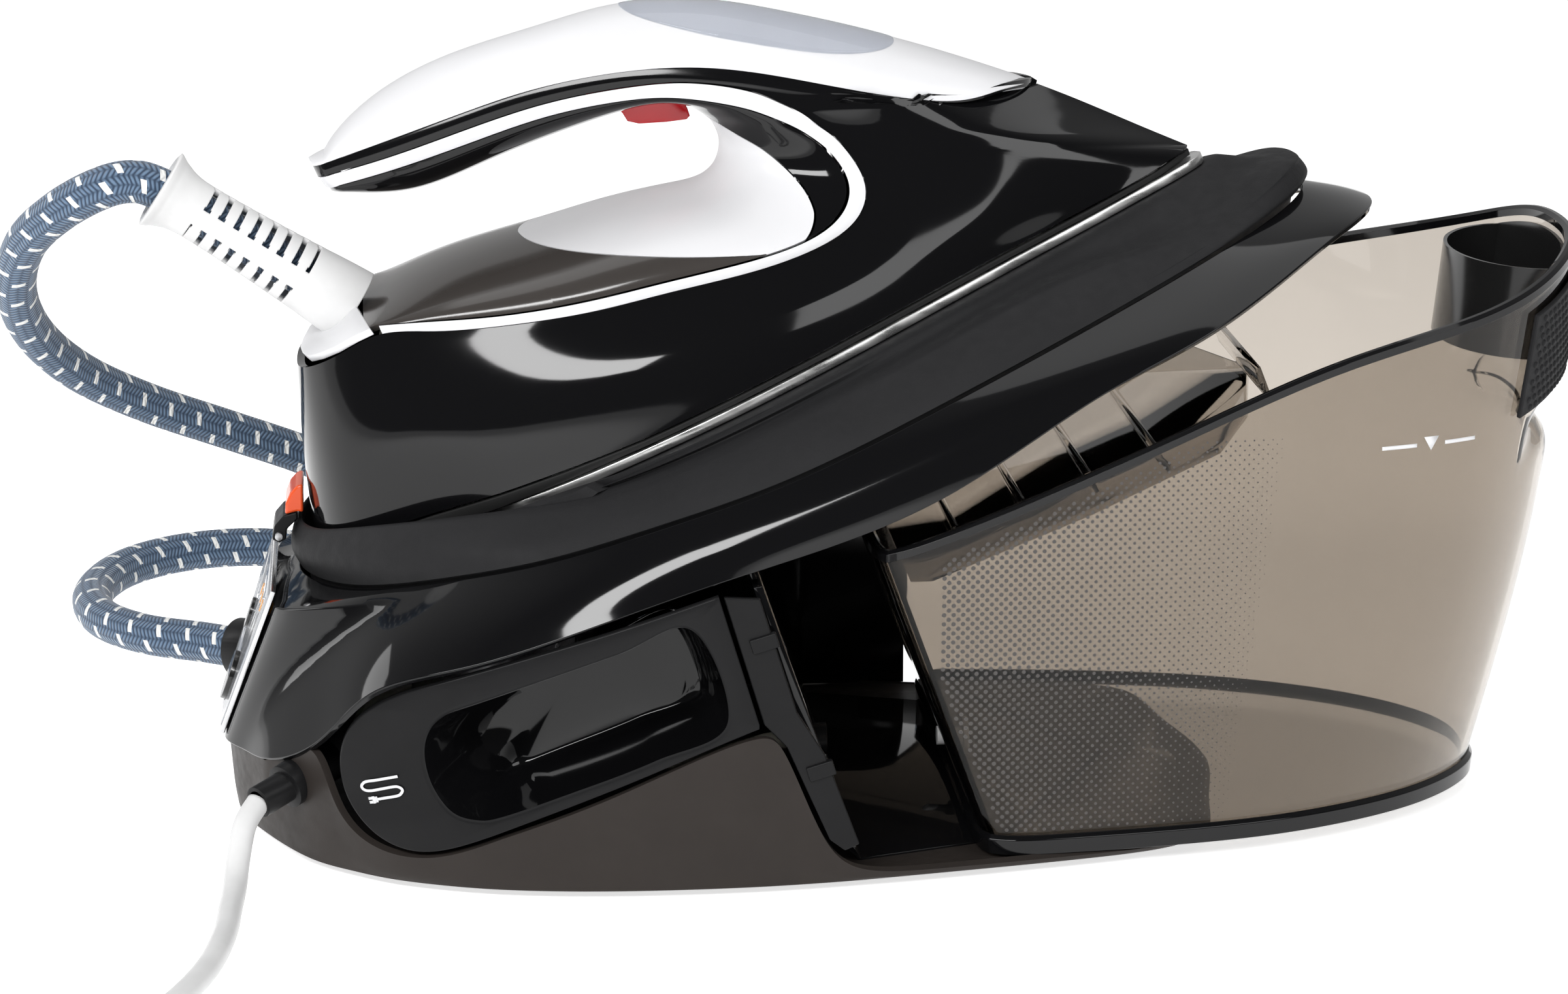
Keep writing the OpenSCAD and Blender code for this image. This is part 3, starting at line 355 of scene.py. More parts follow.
def dress(obj, slot):
    """Gives a piece the one material that the slot names."""
    if obj.type == "MESH" and obj.name in frame["nodes"]:
        for holder in obj.material_slots:
            holder.link = "OBJECT"
            holder.material = MATERIALS[slot]
        return obj
    obj.data.materials.clear()
    obj.data.materials.append(MATERIALS[slot])
    return obj


for part in frame["record"]["subparts"]:
    dress(frame["nodes"][part["node"]], part["material_slot"])


# ---- Curve and mesh helpers ----

def spline(points, u):
    """Catmull-Rom curve through the points, at each u from 0 to len(points) - 1."""
    p = np.asarray(points, float)
    u = np.atleast_1d(np.asarray(u, float))
    last = len(p) - 1
    i = np.clip(np.floor(u).astype(int), 0, last - 1)
    t = (u - i).reshape((-1,) + (1,) * (p.ndim - 1))
    a, b, c, d = p[np.maximum(i - 1, 0)], p[i], p[i + 1], p[np.minimum(i + 2, last)]
    square, cube = 2 * a - 5 * b + 4 * c - d, 3 * b - a - 3 * c + d
    return 0.5 * (2 * b + (c - a) * t + square * t**2 + cube * t**3)


def smooth(points, k):
    """The curve with k steps from each point to the next."""
    return spline(points, np.linspace(0, len(points) - 1, (len(points) - 1) * k + 1))


def unit(v):
    """The vectors at length one."""
    return v / np.linalg.norm(v, axis=-1, keepdims=True)


def run(path):
    """Distance along a path to each of its points."""
    return np.concatenate([[0], np.cumsum(np.linalg.norm(np.diff(path, axis=0), axis=1))])


def ring_faces(m, n):
    """Quads between m closed rings of n points."""
    return [
        (i * n + j, i * n + (j + 1) % n, (i + 1) * n + (j + 1) % n, (i + 1) * n + j)
        for i in range(m - 1)
        for j in range(n)
    ]


def sheet_faces(m, n):
    """Quads of an open sheet of m rows of n points."""
    return [
        (i * n + j, (i + 1) * n + j, (i + 1) * n + j + 1, i * n + j + 1)
        for i in range(m - 1)
        for j in range(n - 1)
    ]


def edit_mesh(obj, change):
    """Runs a change on the piece's mesh as a bmesh and writes it back."""
    work = bmesh.new()
    work.from_mesh(obj.data)
    change(work)
    work.to_mesh(obj.data)
    work.free()
    return obj


def shade_smooth(obj):
    obj.data.polygons.foreach_set("use_smooth", [True] * len(obj.data.polygons))


def link_mesh(name, points, faces):
    mesh = bpy.data.meshes.new(name)
    mesh.from_pydata((np.asarray(points) * MM).tolist(), [], [list(map(int, f)) for f in faces])
    mesh.validate()
    obj = bpy.data.objects.new(name, mesh)
    bpy.context.scene.collection.objects.link(obj)
    return obj


def tube_mesh(name, path, diameter, sides=24):
    """Round tube along a path in metres, with turns and metres in its UV map."""
    path = np.asarray(path, float)
    ahead = unit(np.gradient(path, axis=0))
    normal = np.cross(ahead[0], (0, 0, 1.0))
    if np.linalg.norm(normal) < 0.1:
        normal = np.cross(ahead[0], (1.0, 0, 0))
    angles = np.arange(sides) * 2 * math.pi / sides
    rings = []
    for spot, direction in zip(path, ahead):
        normal = unit(normal - direction * normal.dot(direction))
        other = np.cross(direction, normal)
        ring = np.outer(np.cos(angles), normal) + np.outer(np.sin(angles), other)
        rings.append(spot + diameter / 2 * ring)
    last = (len(path) - 1) * sides
    caps = [tuple(range(sides))[::-1], tuple(range(last, last + sides))]
    points = np.array(rings).reshape(-1, 3) / MM
    obj = link_mesh(name, points, ring_faces(len(path), sides) + caps)
    length = run(path)
    uv = obj.data.uv_layers.new(name="cover")
    for k in range(last):
        i, j = divmod(k, sides)
        corners = ((i, j), (i, j + 1), (i + 1, j + 1), (i + 1, j))
        for corner, (row, side) in enumerate(corners):
            uv.data[k * 4 + corner].uv = (side / sides, length[row])
    shade_smooth(obj)
    return obj


def coil(centre, start, turns, radii, heights, steps=20):
    """Points of a coil, counter-clockwise from the start angle in degrees.

    radii and heights are pairs: turns made so far, and the radius or height there.
    """
    made = np.linspace(0, turns, int(turns * steps) + 1)
    angle = math.radians(start) + made * 2 * math.pi
    radius, height = (np.interp(made, *zip(*pairs)) for pairs in (radii, heights))
    x, y = centre[0] + radius * np.cos(angle), centre[1] + radius * np.sin(angle)
    return np.column_stack([x, y, height])


# ---- Cords ----

HOSE_D = 13.4
HOSE_UPPER = [
    (-222, 0, 193.9), (-230, 0, 199), (-238, 0.5, 201.5), (-248, 2, 199.5), (-262, 10, 191),
    (-274, 24, 178), (-279, 42, 160), (-275, 62, 141), (-262, 80, 124), (-241, 94, 110),
    (-215, 104, 98), (-188, 112, 86), (-162, 119, 72), (-137, 126, 55), (-112, 132, 38),
]
HOSE_LOWER = [
    (-90, 137, 25), (-66, 143, 14), (-42, 150, 8), (-18, 160, 7), (2, 175, 7), (14, 197, 7),
    (18.6, 216, 7),
]
HOSE_COIL = {
    "centre": (-60, 235), "start": 0, "turns": 1.5,
    "radii": ((0, 79), (1.5, 59)), "heights": ((0, 7), (1.4, 7), (1.5, 7.6)),
}
HOSE_RETURN = [
    (-119.5, 221, 12), (-121.5, 206, 19.5), (-125, 191, 22.5), (-133, 177, 24.5), (-148, 167, 30),
    (-178, 160, 38), (-205, 161, 42), (-232, 157, 42), (-253, 144, 40), (-263, 122, 37),
    (-259, 98, 35), (-244, 80, 34), (-224, 68, 34), (-212, 60, 34),
]


def steam_hose():
    route = np.vstack([HOSE_UPPER, HOSE_LOWER, coil(**HOSE_COIL), HOSE_RETURN])
    path = smooth(route, 6) * MM
    hose = tube_mesh("steam_hose", path, HOSE_D * MM, 32)
    dress(hose, "hose_braid")
    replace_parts(hose, "steam_hose_upper", "steam_hose_lower", "hose_coil")
    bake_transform(hose)


LEAD_D = 7.2
LEAD_ROUTE = [
    (-203, -78, 24), (-207, -84, 19), (-209, -91, 11), (-210, -102, 5), (-211, -118, 3.6),
    (-212, -140, 3.6), (-216, -168, 3.6), (-224, -195, 3.6), (-236, -222, 3.6), (-252, -248, 3.6),
    (-268, -275, 3.6),
]
LEAD_COIL = {
    "centre": (-236, -310), "start": 172, "turns": 6, "steps": 16,
    "radii": (
        (0, 46.8), (1, 39.6), (2, 32.4), (3, 32.4), (4, 39.6), (5, 46.8), (6, 46.8),
    ),
    "heights": ((0, 3.6), (2, 3.6), (2.4, 10.8), (6, 10.8)),
}
LEAD_TAIL = [(-236, -356.8, 3.6), (-222, -357.5, 3.6), (-208, -359, 6), (-194, -360, 12)]


def mains_lead():
    """Lead on the floor: a loose run from the gland, and the spare length in two layers of coil."""
    path = smooth(np.vstack([LEAD_ROUTE, coil(**LEAD_COIL), LEAD_TAIL]), 6) * MM
    path[:, 2] = np.maximum(path[:, 2], LEAD_D / 2 * MM)
    lead = tube_mesh("mains_lead", path, LEAD_D * MM, 24)
    dress(lead, "white_pvc")
    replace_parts(lead, "mains_cord", "mains_coil")
    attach(lead, "base")


# ---- Moulded covers ----

# Iron curves (SHELL_OUTER to COVER_RIDGE): along the sole from its tip, half width, height above
# the sole. The others, up to TANK_FOOT, are in the frame, in x, half width and height.
SHELL_OUTER = [
    (-304, 0, 9), (-300, 24, 9), (-286.5, 42, 9), (-264, 53, 9), (-243, 60, 8), (-221, 63, 7),
    (-195, 63.5, 6), (-165, 60.5, 6), (-132, 52.5, 6), (-100, 41.5, 6), (-70, 30.5, 6),
    (-40, 21, 6), (-16, 11, 6), (-3, 0, 6.5), (-14, 0, 18), (-30, 0, 35), (-41, 0, 46),
    (-50, 12.5, 50), (-66, 20, 54), (-101, 23.5, 75.5), (-137, 22.5, 97.3), (-178, 21.5, 109.5),
    (-203, 20.5, 112.3), (-229, 18.5, 113.7), (-251, 10.5, 114),
]
SHELL_MIDDLE = [
    (-296, 0, 34), (-292, 25, 34), (-280.5, 41, 34), (-261, 51, 34), (-242, 57, 32),
    (-221, 60.5, 29), (-195, 61, 26), (-168, 58.5, 23), (-139, 52, 20), (-112, 43.5, 18.5),
    (-91, 36.5, 19), (-72, 30.5, 21), (-58, 26, 25), (-50, 22.5, 31), (-55, 22, 38), (-64, 22, 46),
    (-76, 22.5, 58), (-83, 23.5, 64.5), (-94, 24.5, 69), (-120, 24.3, 85), (-147, 23, 98.6),
    (-179, 22.2, 107.2), (-204, 21.2, 110), (-230, 19.2, 111.5), (-251, 11.5, 112.3),
]
SHELL_INNER = [
    (-286, 0, 60), (-283, 22, 60.5), (-272, 34, 62), (-256, 41, 64), (-240, 46, 59), (-221, 50, 53),
    (-195, 51, 46), (-170, 49, 41), (-144, 45, 35.5), (-123, 39.5, 33), (-110, 35, 34.5),
    (-103.5, 31.5, 39), (-101.3, 28.5, 46), (-103, 26.7, 56), (-105, 26, 61), (-108, 25.7, 66),
    (-111, 25.5, 71), (-116, 25, 77), (-122, 24.5, 83), (-138, 23.5, 93), (-156.5, 22.5, 99.6),
    (-180, 22, 105), (-205, 21, 107.6), (-231, 19, 109.2), (-251, 11.5, 110.5),
]
TRIM_INNER = [
    (-256, 40, 67), (-240, 45, 62.3), (-221, 49, 56.3), (-195, 50, 49.5), (-170, 48.5, 44.5),
    (-144, 44.5, 39), (-125, 39.5, 36.5), (-114, 35, 38), (-108.3, 31.5, 42), (-106.3, 28.5, 48),
    (-108, 26.8, 56.5), (-110.5, 26.3, 61.5), (-113.5, 25.8, 66), (-117, 25.2, 70),
    (-122, 24.6, 75), (-128, 24, 80), (-143, 23.2, 89.5), (-158, 22.3, 95.5), (-181, 21.5, 100.7),
    (-204, 20.5, 102.8), (-230, 18.5, 104.5), (-250, 11.5, 106),
]
OPENING = [
    (-256, 0, 68.5), (-240, 0, 70.5), (-221, 0, 70), (-200, 0, 67.5), (-178, 0, 65),
    (-160, 0, 61.8), (-150, 0, 60.3), (-144, 0, 61.5), (-140.5, 0, 64), (-138.3, 0, 67),
    (-137.2, 0, 70), (-137, 0, 72.5), (-137.2, 0, 75), (-138, 0, 77.5), (-139.8, 0, 80.5),
    (-143, 0, 84.5), (-149.5, 0, 88.5), (-160, 0, 90.6), (-181, 0, 92.2), (-204, 0, 93),
    (-230, 0, 94.2), (-250, 0, 102),
]
COVER_EDGE = [
    (-40.5, 4, 46.2), (-48.5, 13.6, 48.8), (-66, 20, 54), (-83, 22.7, 64), (-101, 23.5, 75.5),
    (-122, 23, 89), (-137, 22.5, 97.3), (-154, 22, 104.6), (-178, 21.5, 109.5), (-203, 20.5, 112.3),
    (-229, 18.5, 113.7), (-248, 12, 114), (-254, 5, 113),
]
COVER_RIDGE = [
    (-42, 0, 47.5), (-53, 0, 57.4), (-67, 0, 69.6), (-83, 0, 82.4), (-99, 0, 94.2),
    (-117, 0, 106.5), (-132, 0, 114.5), (-151, 0, 121.2), (-176, 0, 124.8), (-203, 0, 127.6),
    (-229, 0, 125.7), (-247, 0, 119), (-254, 0, 113.5),
]
SHELL_TOP = [
    (128, 0, 196), (118, 26, 192.5), (91, 52, 182.5), (51, 72, 165.5), (4, 86, 144.5),
    (-43, 95, 124.5), (-79, 97, 112.5), (-114, 92, 101), (-140, 81, 93.5), (-158, 68, 88),
    (-172, 52, 83.5), (-183, 32, 80.5), (-189, 14, 79.5), (-190, 0, 79),
]
SHELL_BOTTOM = [
    (150.7, 0, 190.9), (143, 26, 190), (127, 46, 184), (89, 76, 165), (50, 90, 147), (0, 99, 118),
    (-57, 105, 98.8), (-100, 108.5, 85.5), (-140, 107, 73), (-168, 97, 63), (-184, 84, 45),
    (-201, 58, 31.5), (-211, 26, 29), (-214, 0, 28.5),
]
REST_RIM = [
    (125, 0, 205), (119, 18, 203.5), (95, 38, 191), (50, 52, 178), (0, 67, 157), (-40, 74, 139.5),
    (-72, 77, 126), (-105, 76, 115.5), (-138, 71, 110.5), (-158, 60, 106), (-173, 45, 101),
    (-183, 28, 96.5), (-188, 12, 94.5), (-189, 0, 94),
]
HOUSING_TOP = [
    (102, 0, 4.7), (95, 45, 4.7), (86, 77, 4.7), (49, 92, 4.7), (3, 101.5, 4.8), (-22, 106, 7),
    (-33, 107.5, 17), (-46, 109.5, 46), (-53, 110, 49.8), (-95, 110.5, 33.4), (-130, 107, 19.6),
    (-150, 102, 12.8), (-168, 93.5, 14), (-179.5, 86, 25), (-186, 80, 40), (-201, 58, 31),
    (-211, 26, 28.3), (-214, 0, 28),
]
HOUSING_BOTTOM = [
    (98, 0), (92, 44), (83, 75), (48, 90.5), (3, 100), (-20, 104.5), (-33, 106.5), (-46, 108),
    (-60, 109), (-95, 109), (-130, 104.5), (-150, 98), (-165, 90.5), (-176, 82), (-187, 71),
    (-202, 43), (-210, 20), (-212, 0),
]
PANEL_BORDER = [
    (-65, 94), (-100, 82.6), (-148, 67.5), (-165, 60), (-174.5, 51), (-178, 39), (-174, 25),
    (-163, 15.8), (-150, 14.9), (-128, 22.4), (-90, 37.6), (-68, 46.7), (-52.5, 52.8),
]
POCKET_MOUTH = [
    (-73, 84), (-96, 76.5), (-136, 62), (-148, 56.5), (-152.5, 48), (-151, 37), (-145, 28),
    (-137, 25.5), (-129, 27), (-110, 34), (-84, 44), (-62.5, 55),
]
SIDE_WIDTH = [
    (-214, 40), (-184, 84), (-178, 89), (-168, 95), (-150, 103), (-130, 107.5), (-95, 110.5),
    (-49, 109.8),
]
TANK_TOP = [
    (213.5, 0, 180), (210, 28, 178.5), (197, 52, 172), (172, 72, 164), (125, 86, 152.5),
    (72, 92, 131.5), (27, 94.5, 113), (-5, 96, 101.5), (-13, 94, 99), (-15.5, 86, 98.5),
    (-15.5, 0, 98.5),
]
TANK_FOOT = [
    (185.6, 0, 7.5), (182, 21, 7.5), (166, 44, 7.5), (143, 62, 7.5), (108, 78, 7.5), (72, 86, 7.5),
    (48, 89.5, 7.5), (27, 91, 7.5), (20.5, 89, 7.5), (18.5, 82, 7.5), (18.5, 0, 7.5),
]
TANK_BELLY = [5, 5, 4.5, 4, 3, 1.5, 0.5, 0, 0, 0, 0]


def spline_span(p):
    """Cubic spline through the points with even curvature: point i is at u = i.

    An end on the middle plane is met squarely, as if the curve went on as its mirror image.
    """
    front = bool(abs(p[0][1]) < ON_MIDDLE < abs(p[1][1]))
    back = bool(abs(p[-1][1]) < ON_MIDDLE < abs(p[-2][1]))
    flip = np.array([1, -1, 1])[: p.shape[1]]
    full = np.vstack([p[2:0:-1] * flip] * front + [p] + [p[-2:-4:-1] * flip] * back)
    skip = 2 * front
    knots = np.concatenate([[0], np.cumsum(np.sqrt(np.diff(run(full))))])
    gap, n = np.diff(knots), len(full)
    system, right = np.eye(n), np.zeros_like(full)
    for i in range(1, n - 1):
        system[i, i - 1 : i + 2] = gap[i - 1], 2 * (gap[i - 1] + gap[i]), gap[i]
        slopes = (full[i + 1] - full[i]) / gap[i], (full[i] - full[i - 1]) / gap[i - 1]
        right[i] = 6 * (slopes[0] - slopes[1])
    bend = np.linalg.solve(system, right)

    def point(u):
        u = np.asarray(u, float)
        i = np.clip(np.floor(u).astype(int), 0, len(p) - 2)
        b = (u - i)[..., None]
        a, k = 1 - b, i + skip
        h = gap[k][..., None]
        sag = ((a**3 - a) * bend[k] + (b**3 - b) * bend[k + 1]) * h * h / 6
        return a * full[k] + b * full[k + 1] + sag

    return point


def curve(points, corners=()):
    """The smooth curve through the points, turning sharply only at the listed corners."""
    p = np.asarray(points, float)
    ends = [0, *corners, len(p) - 1]
    spans = [spline_span(p[a : b + 1]) for a, b in zip(ends, ends[1:])]

    def point(u):
        u = np.asarray(u, float)
        found = np.zeros(u.shape + (p.shape[1],))
        for span, a, b in zip(spans, ends, ends[1:]):
            here = (u >= a) & (u <= b)
            if here.any():
                found[here] = span(u[here] - a)
        return found

    return point


def across(stations, share):
    """Points at each share of the way through the stations: an array of rows of points."""
    stations = np.asarray(stations)
    count = len(stations)
    return np.stack([spline(stations, s * (count - 1))[0] for s in share], axis=1)


def from_iron(p):
    """Iron frame to world, both in millimetres."""
    p = np.asarray(p, float)
    c, s = math.cos(SLOPE), math.sin(SLOPE)
    x, y, z = p[..., 0], p[..., 1], p[..., 2]
    return SOLE_TIP + np.stack([x * c - z * s, y, x * s + z * c], -1)


def settle(obj, body, slot, nodes=(), thickness=0.0, edge=0.0, segments=3, angle=32):
    """Thickens and rounds a piece, smooths its shading, and gives it its material and body."""
    if thickness:
        shell = obj.modifiers.new("wall", "SOLIDIFY")
        shell.thickness, shell.offset, shell.use_quality_normals = thickness * MM, -1, True
    if edge:
        bevel = obj.modifiers.new("edge", "BEVEL")
        bevel.width, bevel.segments, bevel.limit_method = edge * MM, segments, "ANGLE"
        bevel.angle_limit, bevel.harden_normals = math.radians(angle), True
    shade_smooth(obj)
    bpy.context.view_layer.update()
    evaluated = obj.evaluated_get(bpy.context.evaluated_depsgraph_get())
    made = bpy.data.meshes.new_from_object(evaluated)
    obj.modifiers.clear()
    obj.data = made
    dress(obj, slot)
    if nodes:
        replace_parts(obj, *nodes)
    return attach(obj, body)


def half_cover(name, grid, outward=(0, 1, 0)):
    """Open sheet from a half grid and its mirror image, facing outward."""
    grid = np.array(grid, float)
    points = grid.reshape(-1, 3)
    points[np.abs(points[:, 1]) < 2 * ON_MIDDLE, 1] = 0
    faces = sheet_faces(*grid.shape[:2])
    corners = points[np.array(faces)]
    normals = np.cross(corners[:, 2] - corners[:, 0], corners[:, 3] - corners[:, 1])
    if (normals @ np.array(outward, float)).sum() < 0:
        faces = [f[::-1] for f in faces]
    far = [tuple(len(points) + k for k in f[::-1]) for f in faces]

    def join(work):
        seam = [v for v in work.verts if abs(v.co.y) < 1e-6]
        bmesh.ops.remove_doubles(work, verts=seam, dist=2e-6)
        bmesh.ops.dissolve_degenerate(work, edges=work.edges, dist=1e-7)

    return edit_mesh(link_mesh(name, np.vstack([points, points * (1, -1, 1)]), faces + far), join)


def rings_mesh(name, rings, close_last=True):
    """Sheet through closed rings of equal length, the last one filled in."""
    rings = np.asarray(rings)
    m, n = rings.shape[:2]
    last = [tuple((m - 1) * n + j for j in range(n))] if close_last else []
    return link_mesh(name, rings.reshape(-1, 3), ring_faces(m, n) + last)


def ease(t):
    """Smooth step from 0 to 1."""
    t = np.clip(t, 0, 1)
    return t * t * (3 - 2 * t)


def centred(rows, line):
    """Puts the rows that start on the middle plane wholly on it."""
    rows[np.abs(line[:, 1]) < ON_MIDDLE, :, 1] = 0
    return rows


def steps(low, high, count):
    return np.linspace(low, high, count)


WALL = 2.4
UP_AND_OUT = (0, 0.5, 1)
outer, middle, inner = curve(SHELL_OUTER, (13, 16)), curve(SHELL_MIDDLE), curve(SHELL_INNER)
trim_line, rim_line = curve(TRIM_INNER), curve(OPENING)
edge_line, ridge_line = curve(COVER_EDGE), curve(COVER_RIDGE)


def quarter(edge, ridge, v):
    """Elliptical quarter from an edge curve's points up to a ridge's, at each share v."""
    v = np.asarray(v)
    lift, side = np.sin(v * math.pi / 2)[..., None], np.cos(v * math.pi / 2)
    moved = edge[..., None, :] * (1 - lift) + ridge[..., None, :] * lift
    moved[..., 1] = edge[..., None, 1] * side
    return moved


def crescent(u):
    """Share of the way from the trim to the opening's rim that the black grip reaches."""
    return np.clip((np.asarray(u) - 6) / 9, 0, 1)


def opening_rows(u, low, high, count):
    """Rows round the hand opening, from share low to share high of the way in to its rim."""
    share = steps(0, 1, count)
    v = np.asarray(low)[:, None] * (1 - share) + np.asarray(high)[:, None] * share
    return from_iron(quarter(trim_line(u), rim_line(u), v))


def cover(name, rows, body, slot, node, edge=0.5, outward=(0, 1, 0), wall=WALL):
    """Moulded cover from half its rows, which stands for one CAD node."""
    settle(half_cover(name, rows, outward), body, slot, [node], wall, edge)


def rounded_tail(rows, length, count=8):
    """Rows of points with the last one carried round to the middle plane, in count more rows."""
    turn = steps(0, math.pi / 2, count + 1)[1:, None]
    last = np.repeat(rows[-1:], count, axis=0)
    last[..., 0] -= length * np.sin(turn)
    last[..., 1] *= np.cos(turn)
    return np.concatenate([rows, last])


def iron_covers():
    u = steps(0, 24, 241)
    rows = across([inner(u), middle(u), outer(u)], steps(0, 1, 25))
    u = steps(16, 24, 161)
    edge = outer(u)
    # Behind the tip of the top cover the shell keeps below the cover's edge.
    x, z, cover_tip, tuck = rows[..., 0], rows[..., 2], -39, 1.4
    below = np.interp(-x, -edge[:, 0], edge[:, 2]) - tuck * np.clip((x + 78) / 20, 0, 1)
    rows[..., 2] = np.where(x < cover_tip, np.minimum(z, below), z)
    rows = from_iron(rounded_tail(rows, 5))
    cover("side_shell", rows, "iron", "gloss_black", "iron_shell")

    # The cover's edge hangs a little over the shell, most of all just behind its tip.
    over = np.sin(np.clip((u - 16) / 2.4, 0, 1) * math.pi)[:, None]
    edge = edge + (0, 0.25, 0.15) + over * (0.2, 0.4, -0.7)
    edge[0] = (-39.8, 0, 45.6)
    place = np.interp(-edge[:, 0], [-x for x, _, _ in COVER_EDGE], np.arange(len(COVER_EDGE)))
    top = quarter(edge, ridge_line(place), np.tile(steps(0, 1, 21), (len(edge), 1)))
    top = from_iron(rounded_tail(top, 5.3))
    cover("top_cover", top, "iron", "white_gloss", "handle_top_cover", 0.5, UP_AND_OUT)

    # The lens is an oval on the cover: its place along it, and its reach down from the ridge.
    turn = steps(0, math.pi, 49)
    place, reach = 4.7 + 2.2 * np.cos(turn), 0.66 * np.sin(turn) ** 0.75 + 0.004
    share = steps(0, 1, 15)
    lens = quarter(edge_line(place), ridge_line(place), 1 - reach[:, None] * (1 - share))
    swell = np.sqrt(np.clip(reach, 0, 1))[:, None] * np.sqrt(share + 0.02) * 0.7
    lens += swell[..., None] * (0.4, 0, 0.8)
    lens[..., 1] *= 1.03
    cover("lens_inlay", from_iron(lens), "iron", "lens", "top_lens", 0, UP_AND_OUT, 0.8)

    u = steps(0.06, 21, 200)
    share = steps(0.06, 0.94, 7)
    strip = inner(u + 3)[:, None] * (1 - share)[:, None] + trim_line(u)[:, None] * share[:, None]
    strip[..., 1] += 0.5 + 0.5 * np.sin(share * math.pi)
    strip = from_iron(rounded_tail(strip, 5))
    cover("trim_strip", strip, "iron", "white_gloss", "handle_trim", 0.35)

    u = steps(6.1, 21, 160)
    high = crescent(u)
    high = np.maximum(0.02, np.where(high > 0.99, 1, high * 0.99))
    grip = rounded_tail(opening_rows(u, np.full(u.shape, 0.01), high, 15), 4.5)
    cover("grip_underside", grip, "iron", "gloss_black", "grip_cover", 0.3)

    # The white saddle and the smoked deck behind it meet along an arc from u = 2.7 to 5.3.
    arc = steps(0, 1, 26)
    joint = 2.7 + 2.6 * arc**2
    u = np.concatenate([joint, steps(5.35, 14.9, 90)])
    deck = np.concatenate([1 - arc, np.zeros(90)])
    low = np.minimum(np.maximum(crescent(u), deck) + 0.012, 0.975)
    saddle = opening_rows(u, low, np.ones(u.shape), 15)
    cover("saddle", saddle, "iron", "white_gloss", "saddle_cover")

    u = np.concatenate([steps(0, 2.68, 30), joint])
    high = np.concatenate([np.ones(30), np.maximum(1 - arc, 0.02)])
    rear = opening_rows(u, np.full(u.shape, 0.01), high, 15)
    rear = np.concatenate([rear[:1] * (1, 0.93, 1) + (-3.2, 0, -1.8), rear])
    cover("rear_deck", rear, "iron", "smoked_deck", "heel_deck", 0.3)


rim_top, rim_seam = curve(SHELL_TOP), curve(SHELL_BOTTOM)
rest_edge = curve(REST_RIM)
housing_seam = curve(HOUSING_TOP, (10, 15))
housing_foot = curve([(x, y, 1.6) for x, y in HOUSING_BOTTOM])


def outward_from(p):
    """Directions in plan away from the middle of the base."""
    x, y, middle = p[..., 0], p[..., 1], -60
    return unit(np.stack([x - middle, 2 * y, 0 * x], -1))


def base_shell():
    """Shell from the rest down to the housing, flat and with a window behind the control panel."""
    u = steps(0, 13, 261)
    top, seam = rim_top(u), rim_seam(u)
    t = steps(0, 1, 17)[None, :, None]
    bulge = 2.5 * np.sin(t * math.pi) * outward_from(top)[:, None]
    rows = centred(top[:, None] * (1 - t) + seam[:, None] * t + bulge, top)
    x, y, z = np.moveaxis(rows.copy(), -1, 0)
    beyond = np.maximum(0, y - np.interp(z, (30, 79), (24, 37)))
    push = x - (-213.5 + (z - 30) * 17.6 / 49 + beyond**2 / 34)
    share = ease(t[..., 0] / 0.13) * ease((-140 - x) / 25)
    rows[..., 0] -= (push + np.sqrt(push**2 + 9)) / 2 * share

    def cut_window(work):
        middles = [(f, f.calc_center_median() / MM) for f in work.faces]
        window = [f for f, c in middles if c.x < -190 and abs(c.y) < 23 and 33 < c.z < 67]
        bmesh.ops.delete(work, geom=window, context="FACES")

    shell = edit_mesh(half_cover("base_shell", rows), cut_window)
    settle(shell, "base", "gloss_black", ["upper_shell"], WALL, 0.5)


def rest_top():
    """Textured rest: from the shell over its raised lip and down to the floor under the sole."""
    sole = np.array(SHELL_OUTER[13::-1], float)
    ahead = np.gradient(sole[:, :2], axis=0)
    aside = unit(np.column_stack([-ahead[:, 1], ahead[:, 0]]))
    aside *= np.sign((aside * (sole[:, :2] * (1, 2) + (180, 0))).sum(1))[:, None]
    gap = 4
    line = from_iron(np.column_stack([sole[:, :2] + gap * aside, np.full(len(sole), -0.4)]))
    line[0] = from_iron((5, 0, -0.4))
    line[[0, -1], 1] = 0
    floor_line = curve(line)
    u = steps(0, 13, 261)
    e, r, f = rim_top(u) + (0, 0, 1.2), rest_edge(u), floor_line(u)
    out = outward_from(e)
    deep = np.stack([f[:, 0] * 0.995 - 0.3, 0 * f[:, 0], f[:, 2] - 0.3], -1)
    lip = [e * 0.6 + r * 0.4 + 3 * out, e * 0.15 + r * 0.85 + 2 * out, r]
    stations = [e, *lip, (r + f) / 2 - (0, 0, 1), f, deep]
    rows = across(stations, np.concatenate([steps(0, 5 / 6, 31), [1]]))
    hidden = [e - 3.6 * out - (0, 0, 9), e - 3 * out - (0, 0, 3), e - 1.6 * out - (0, 0, 0.6)]
    rows = np.concatenate([np.stack(hidden, 1), rows], 1)
    rows[..., 1] = np.maximum(rows[..., 1], 0)
    rows = centred(rows, r)
    cover("rest_top", rows, "base", "textured_black", "iron_rest", 0.5, (0, 0, 1))


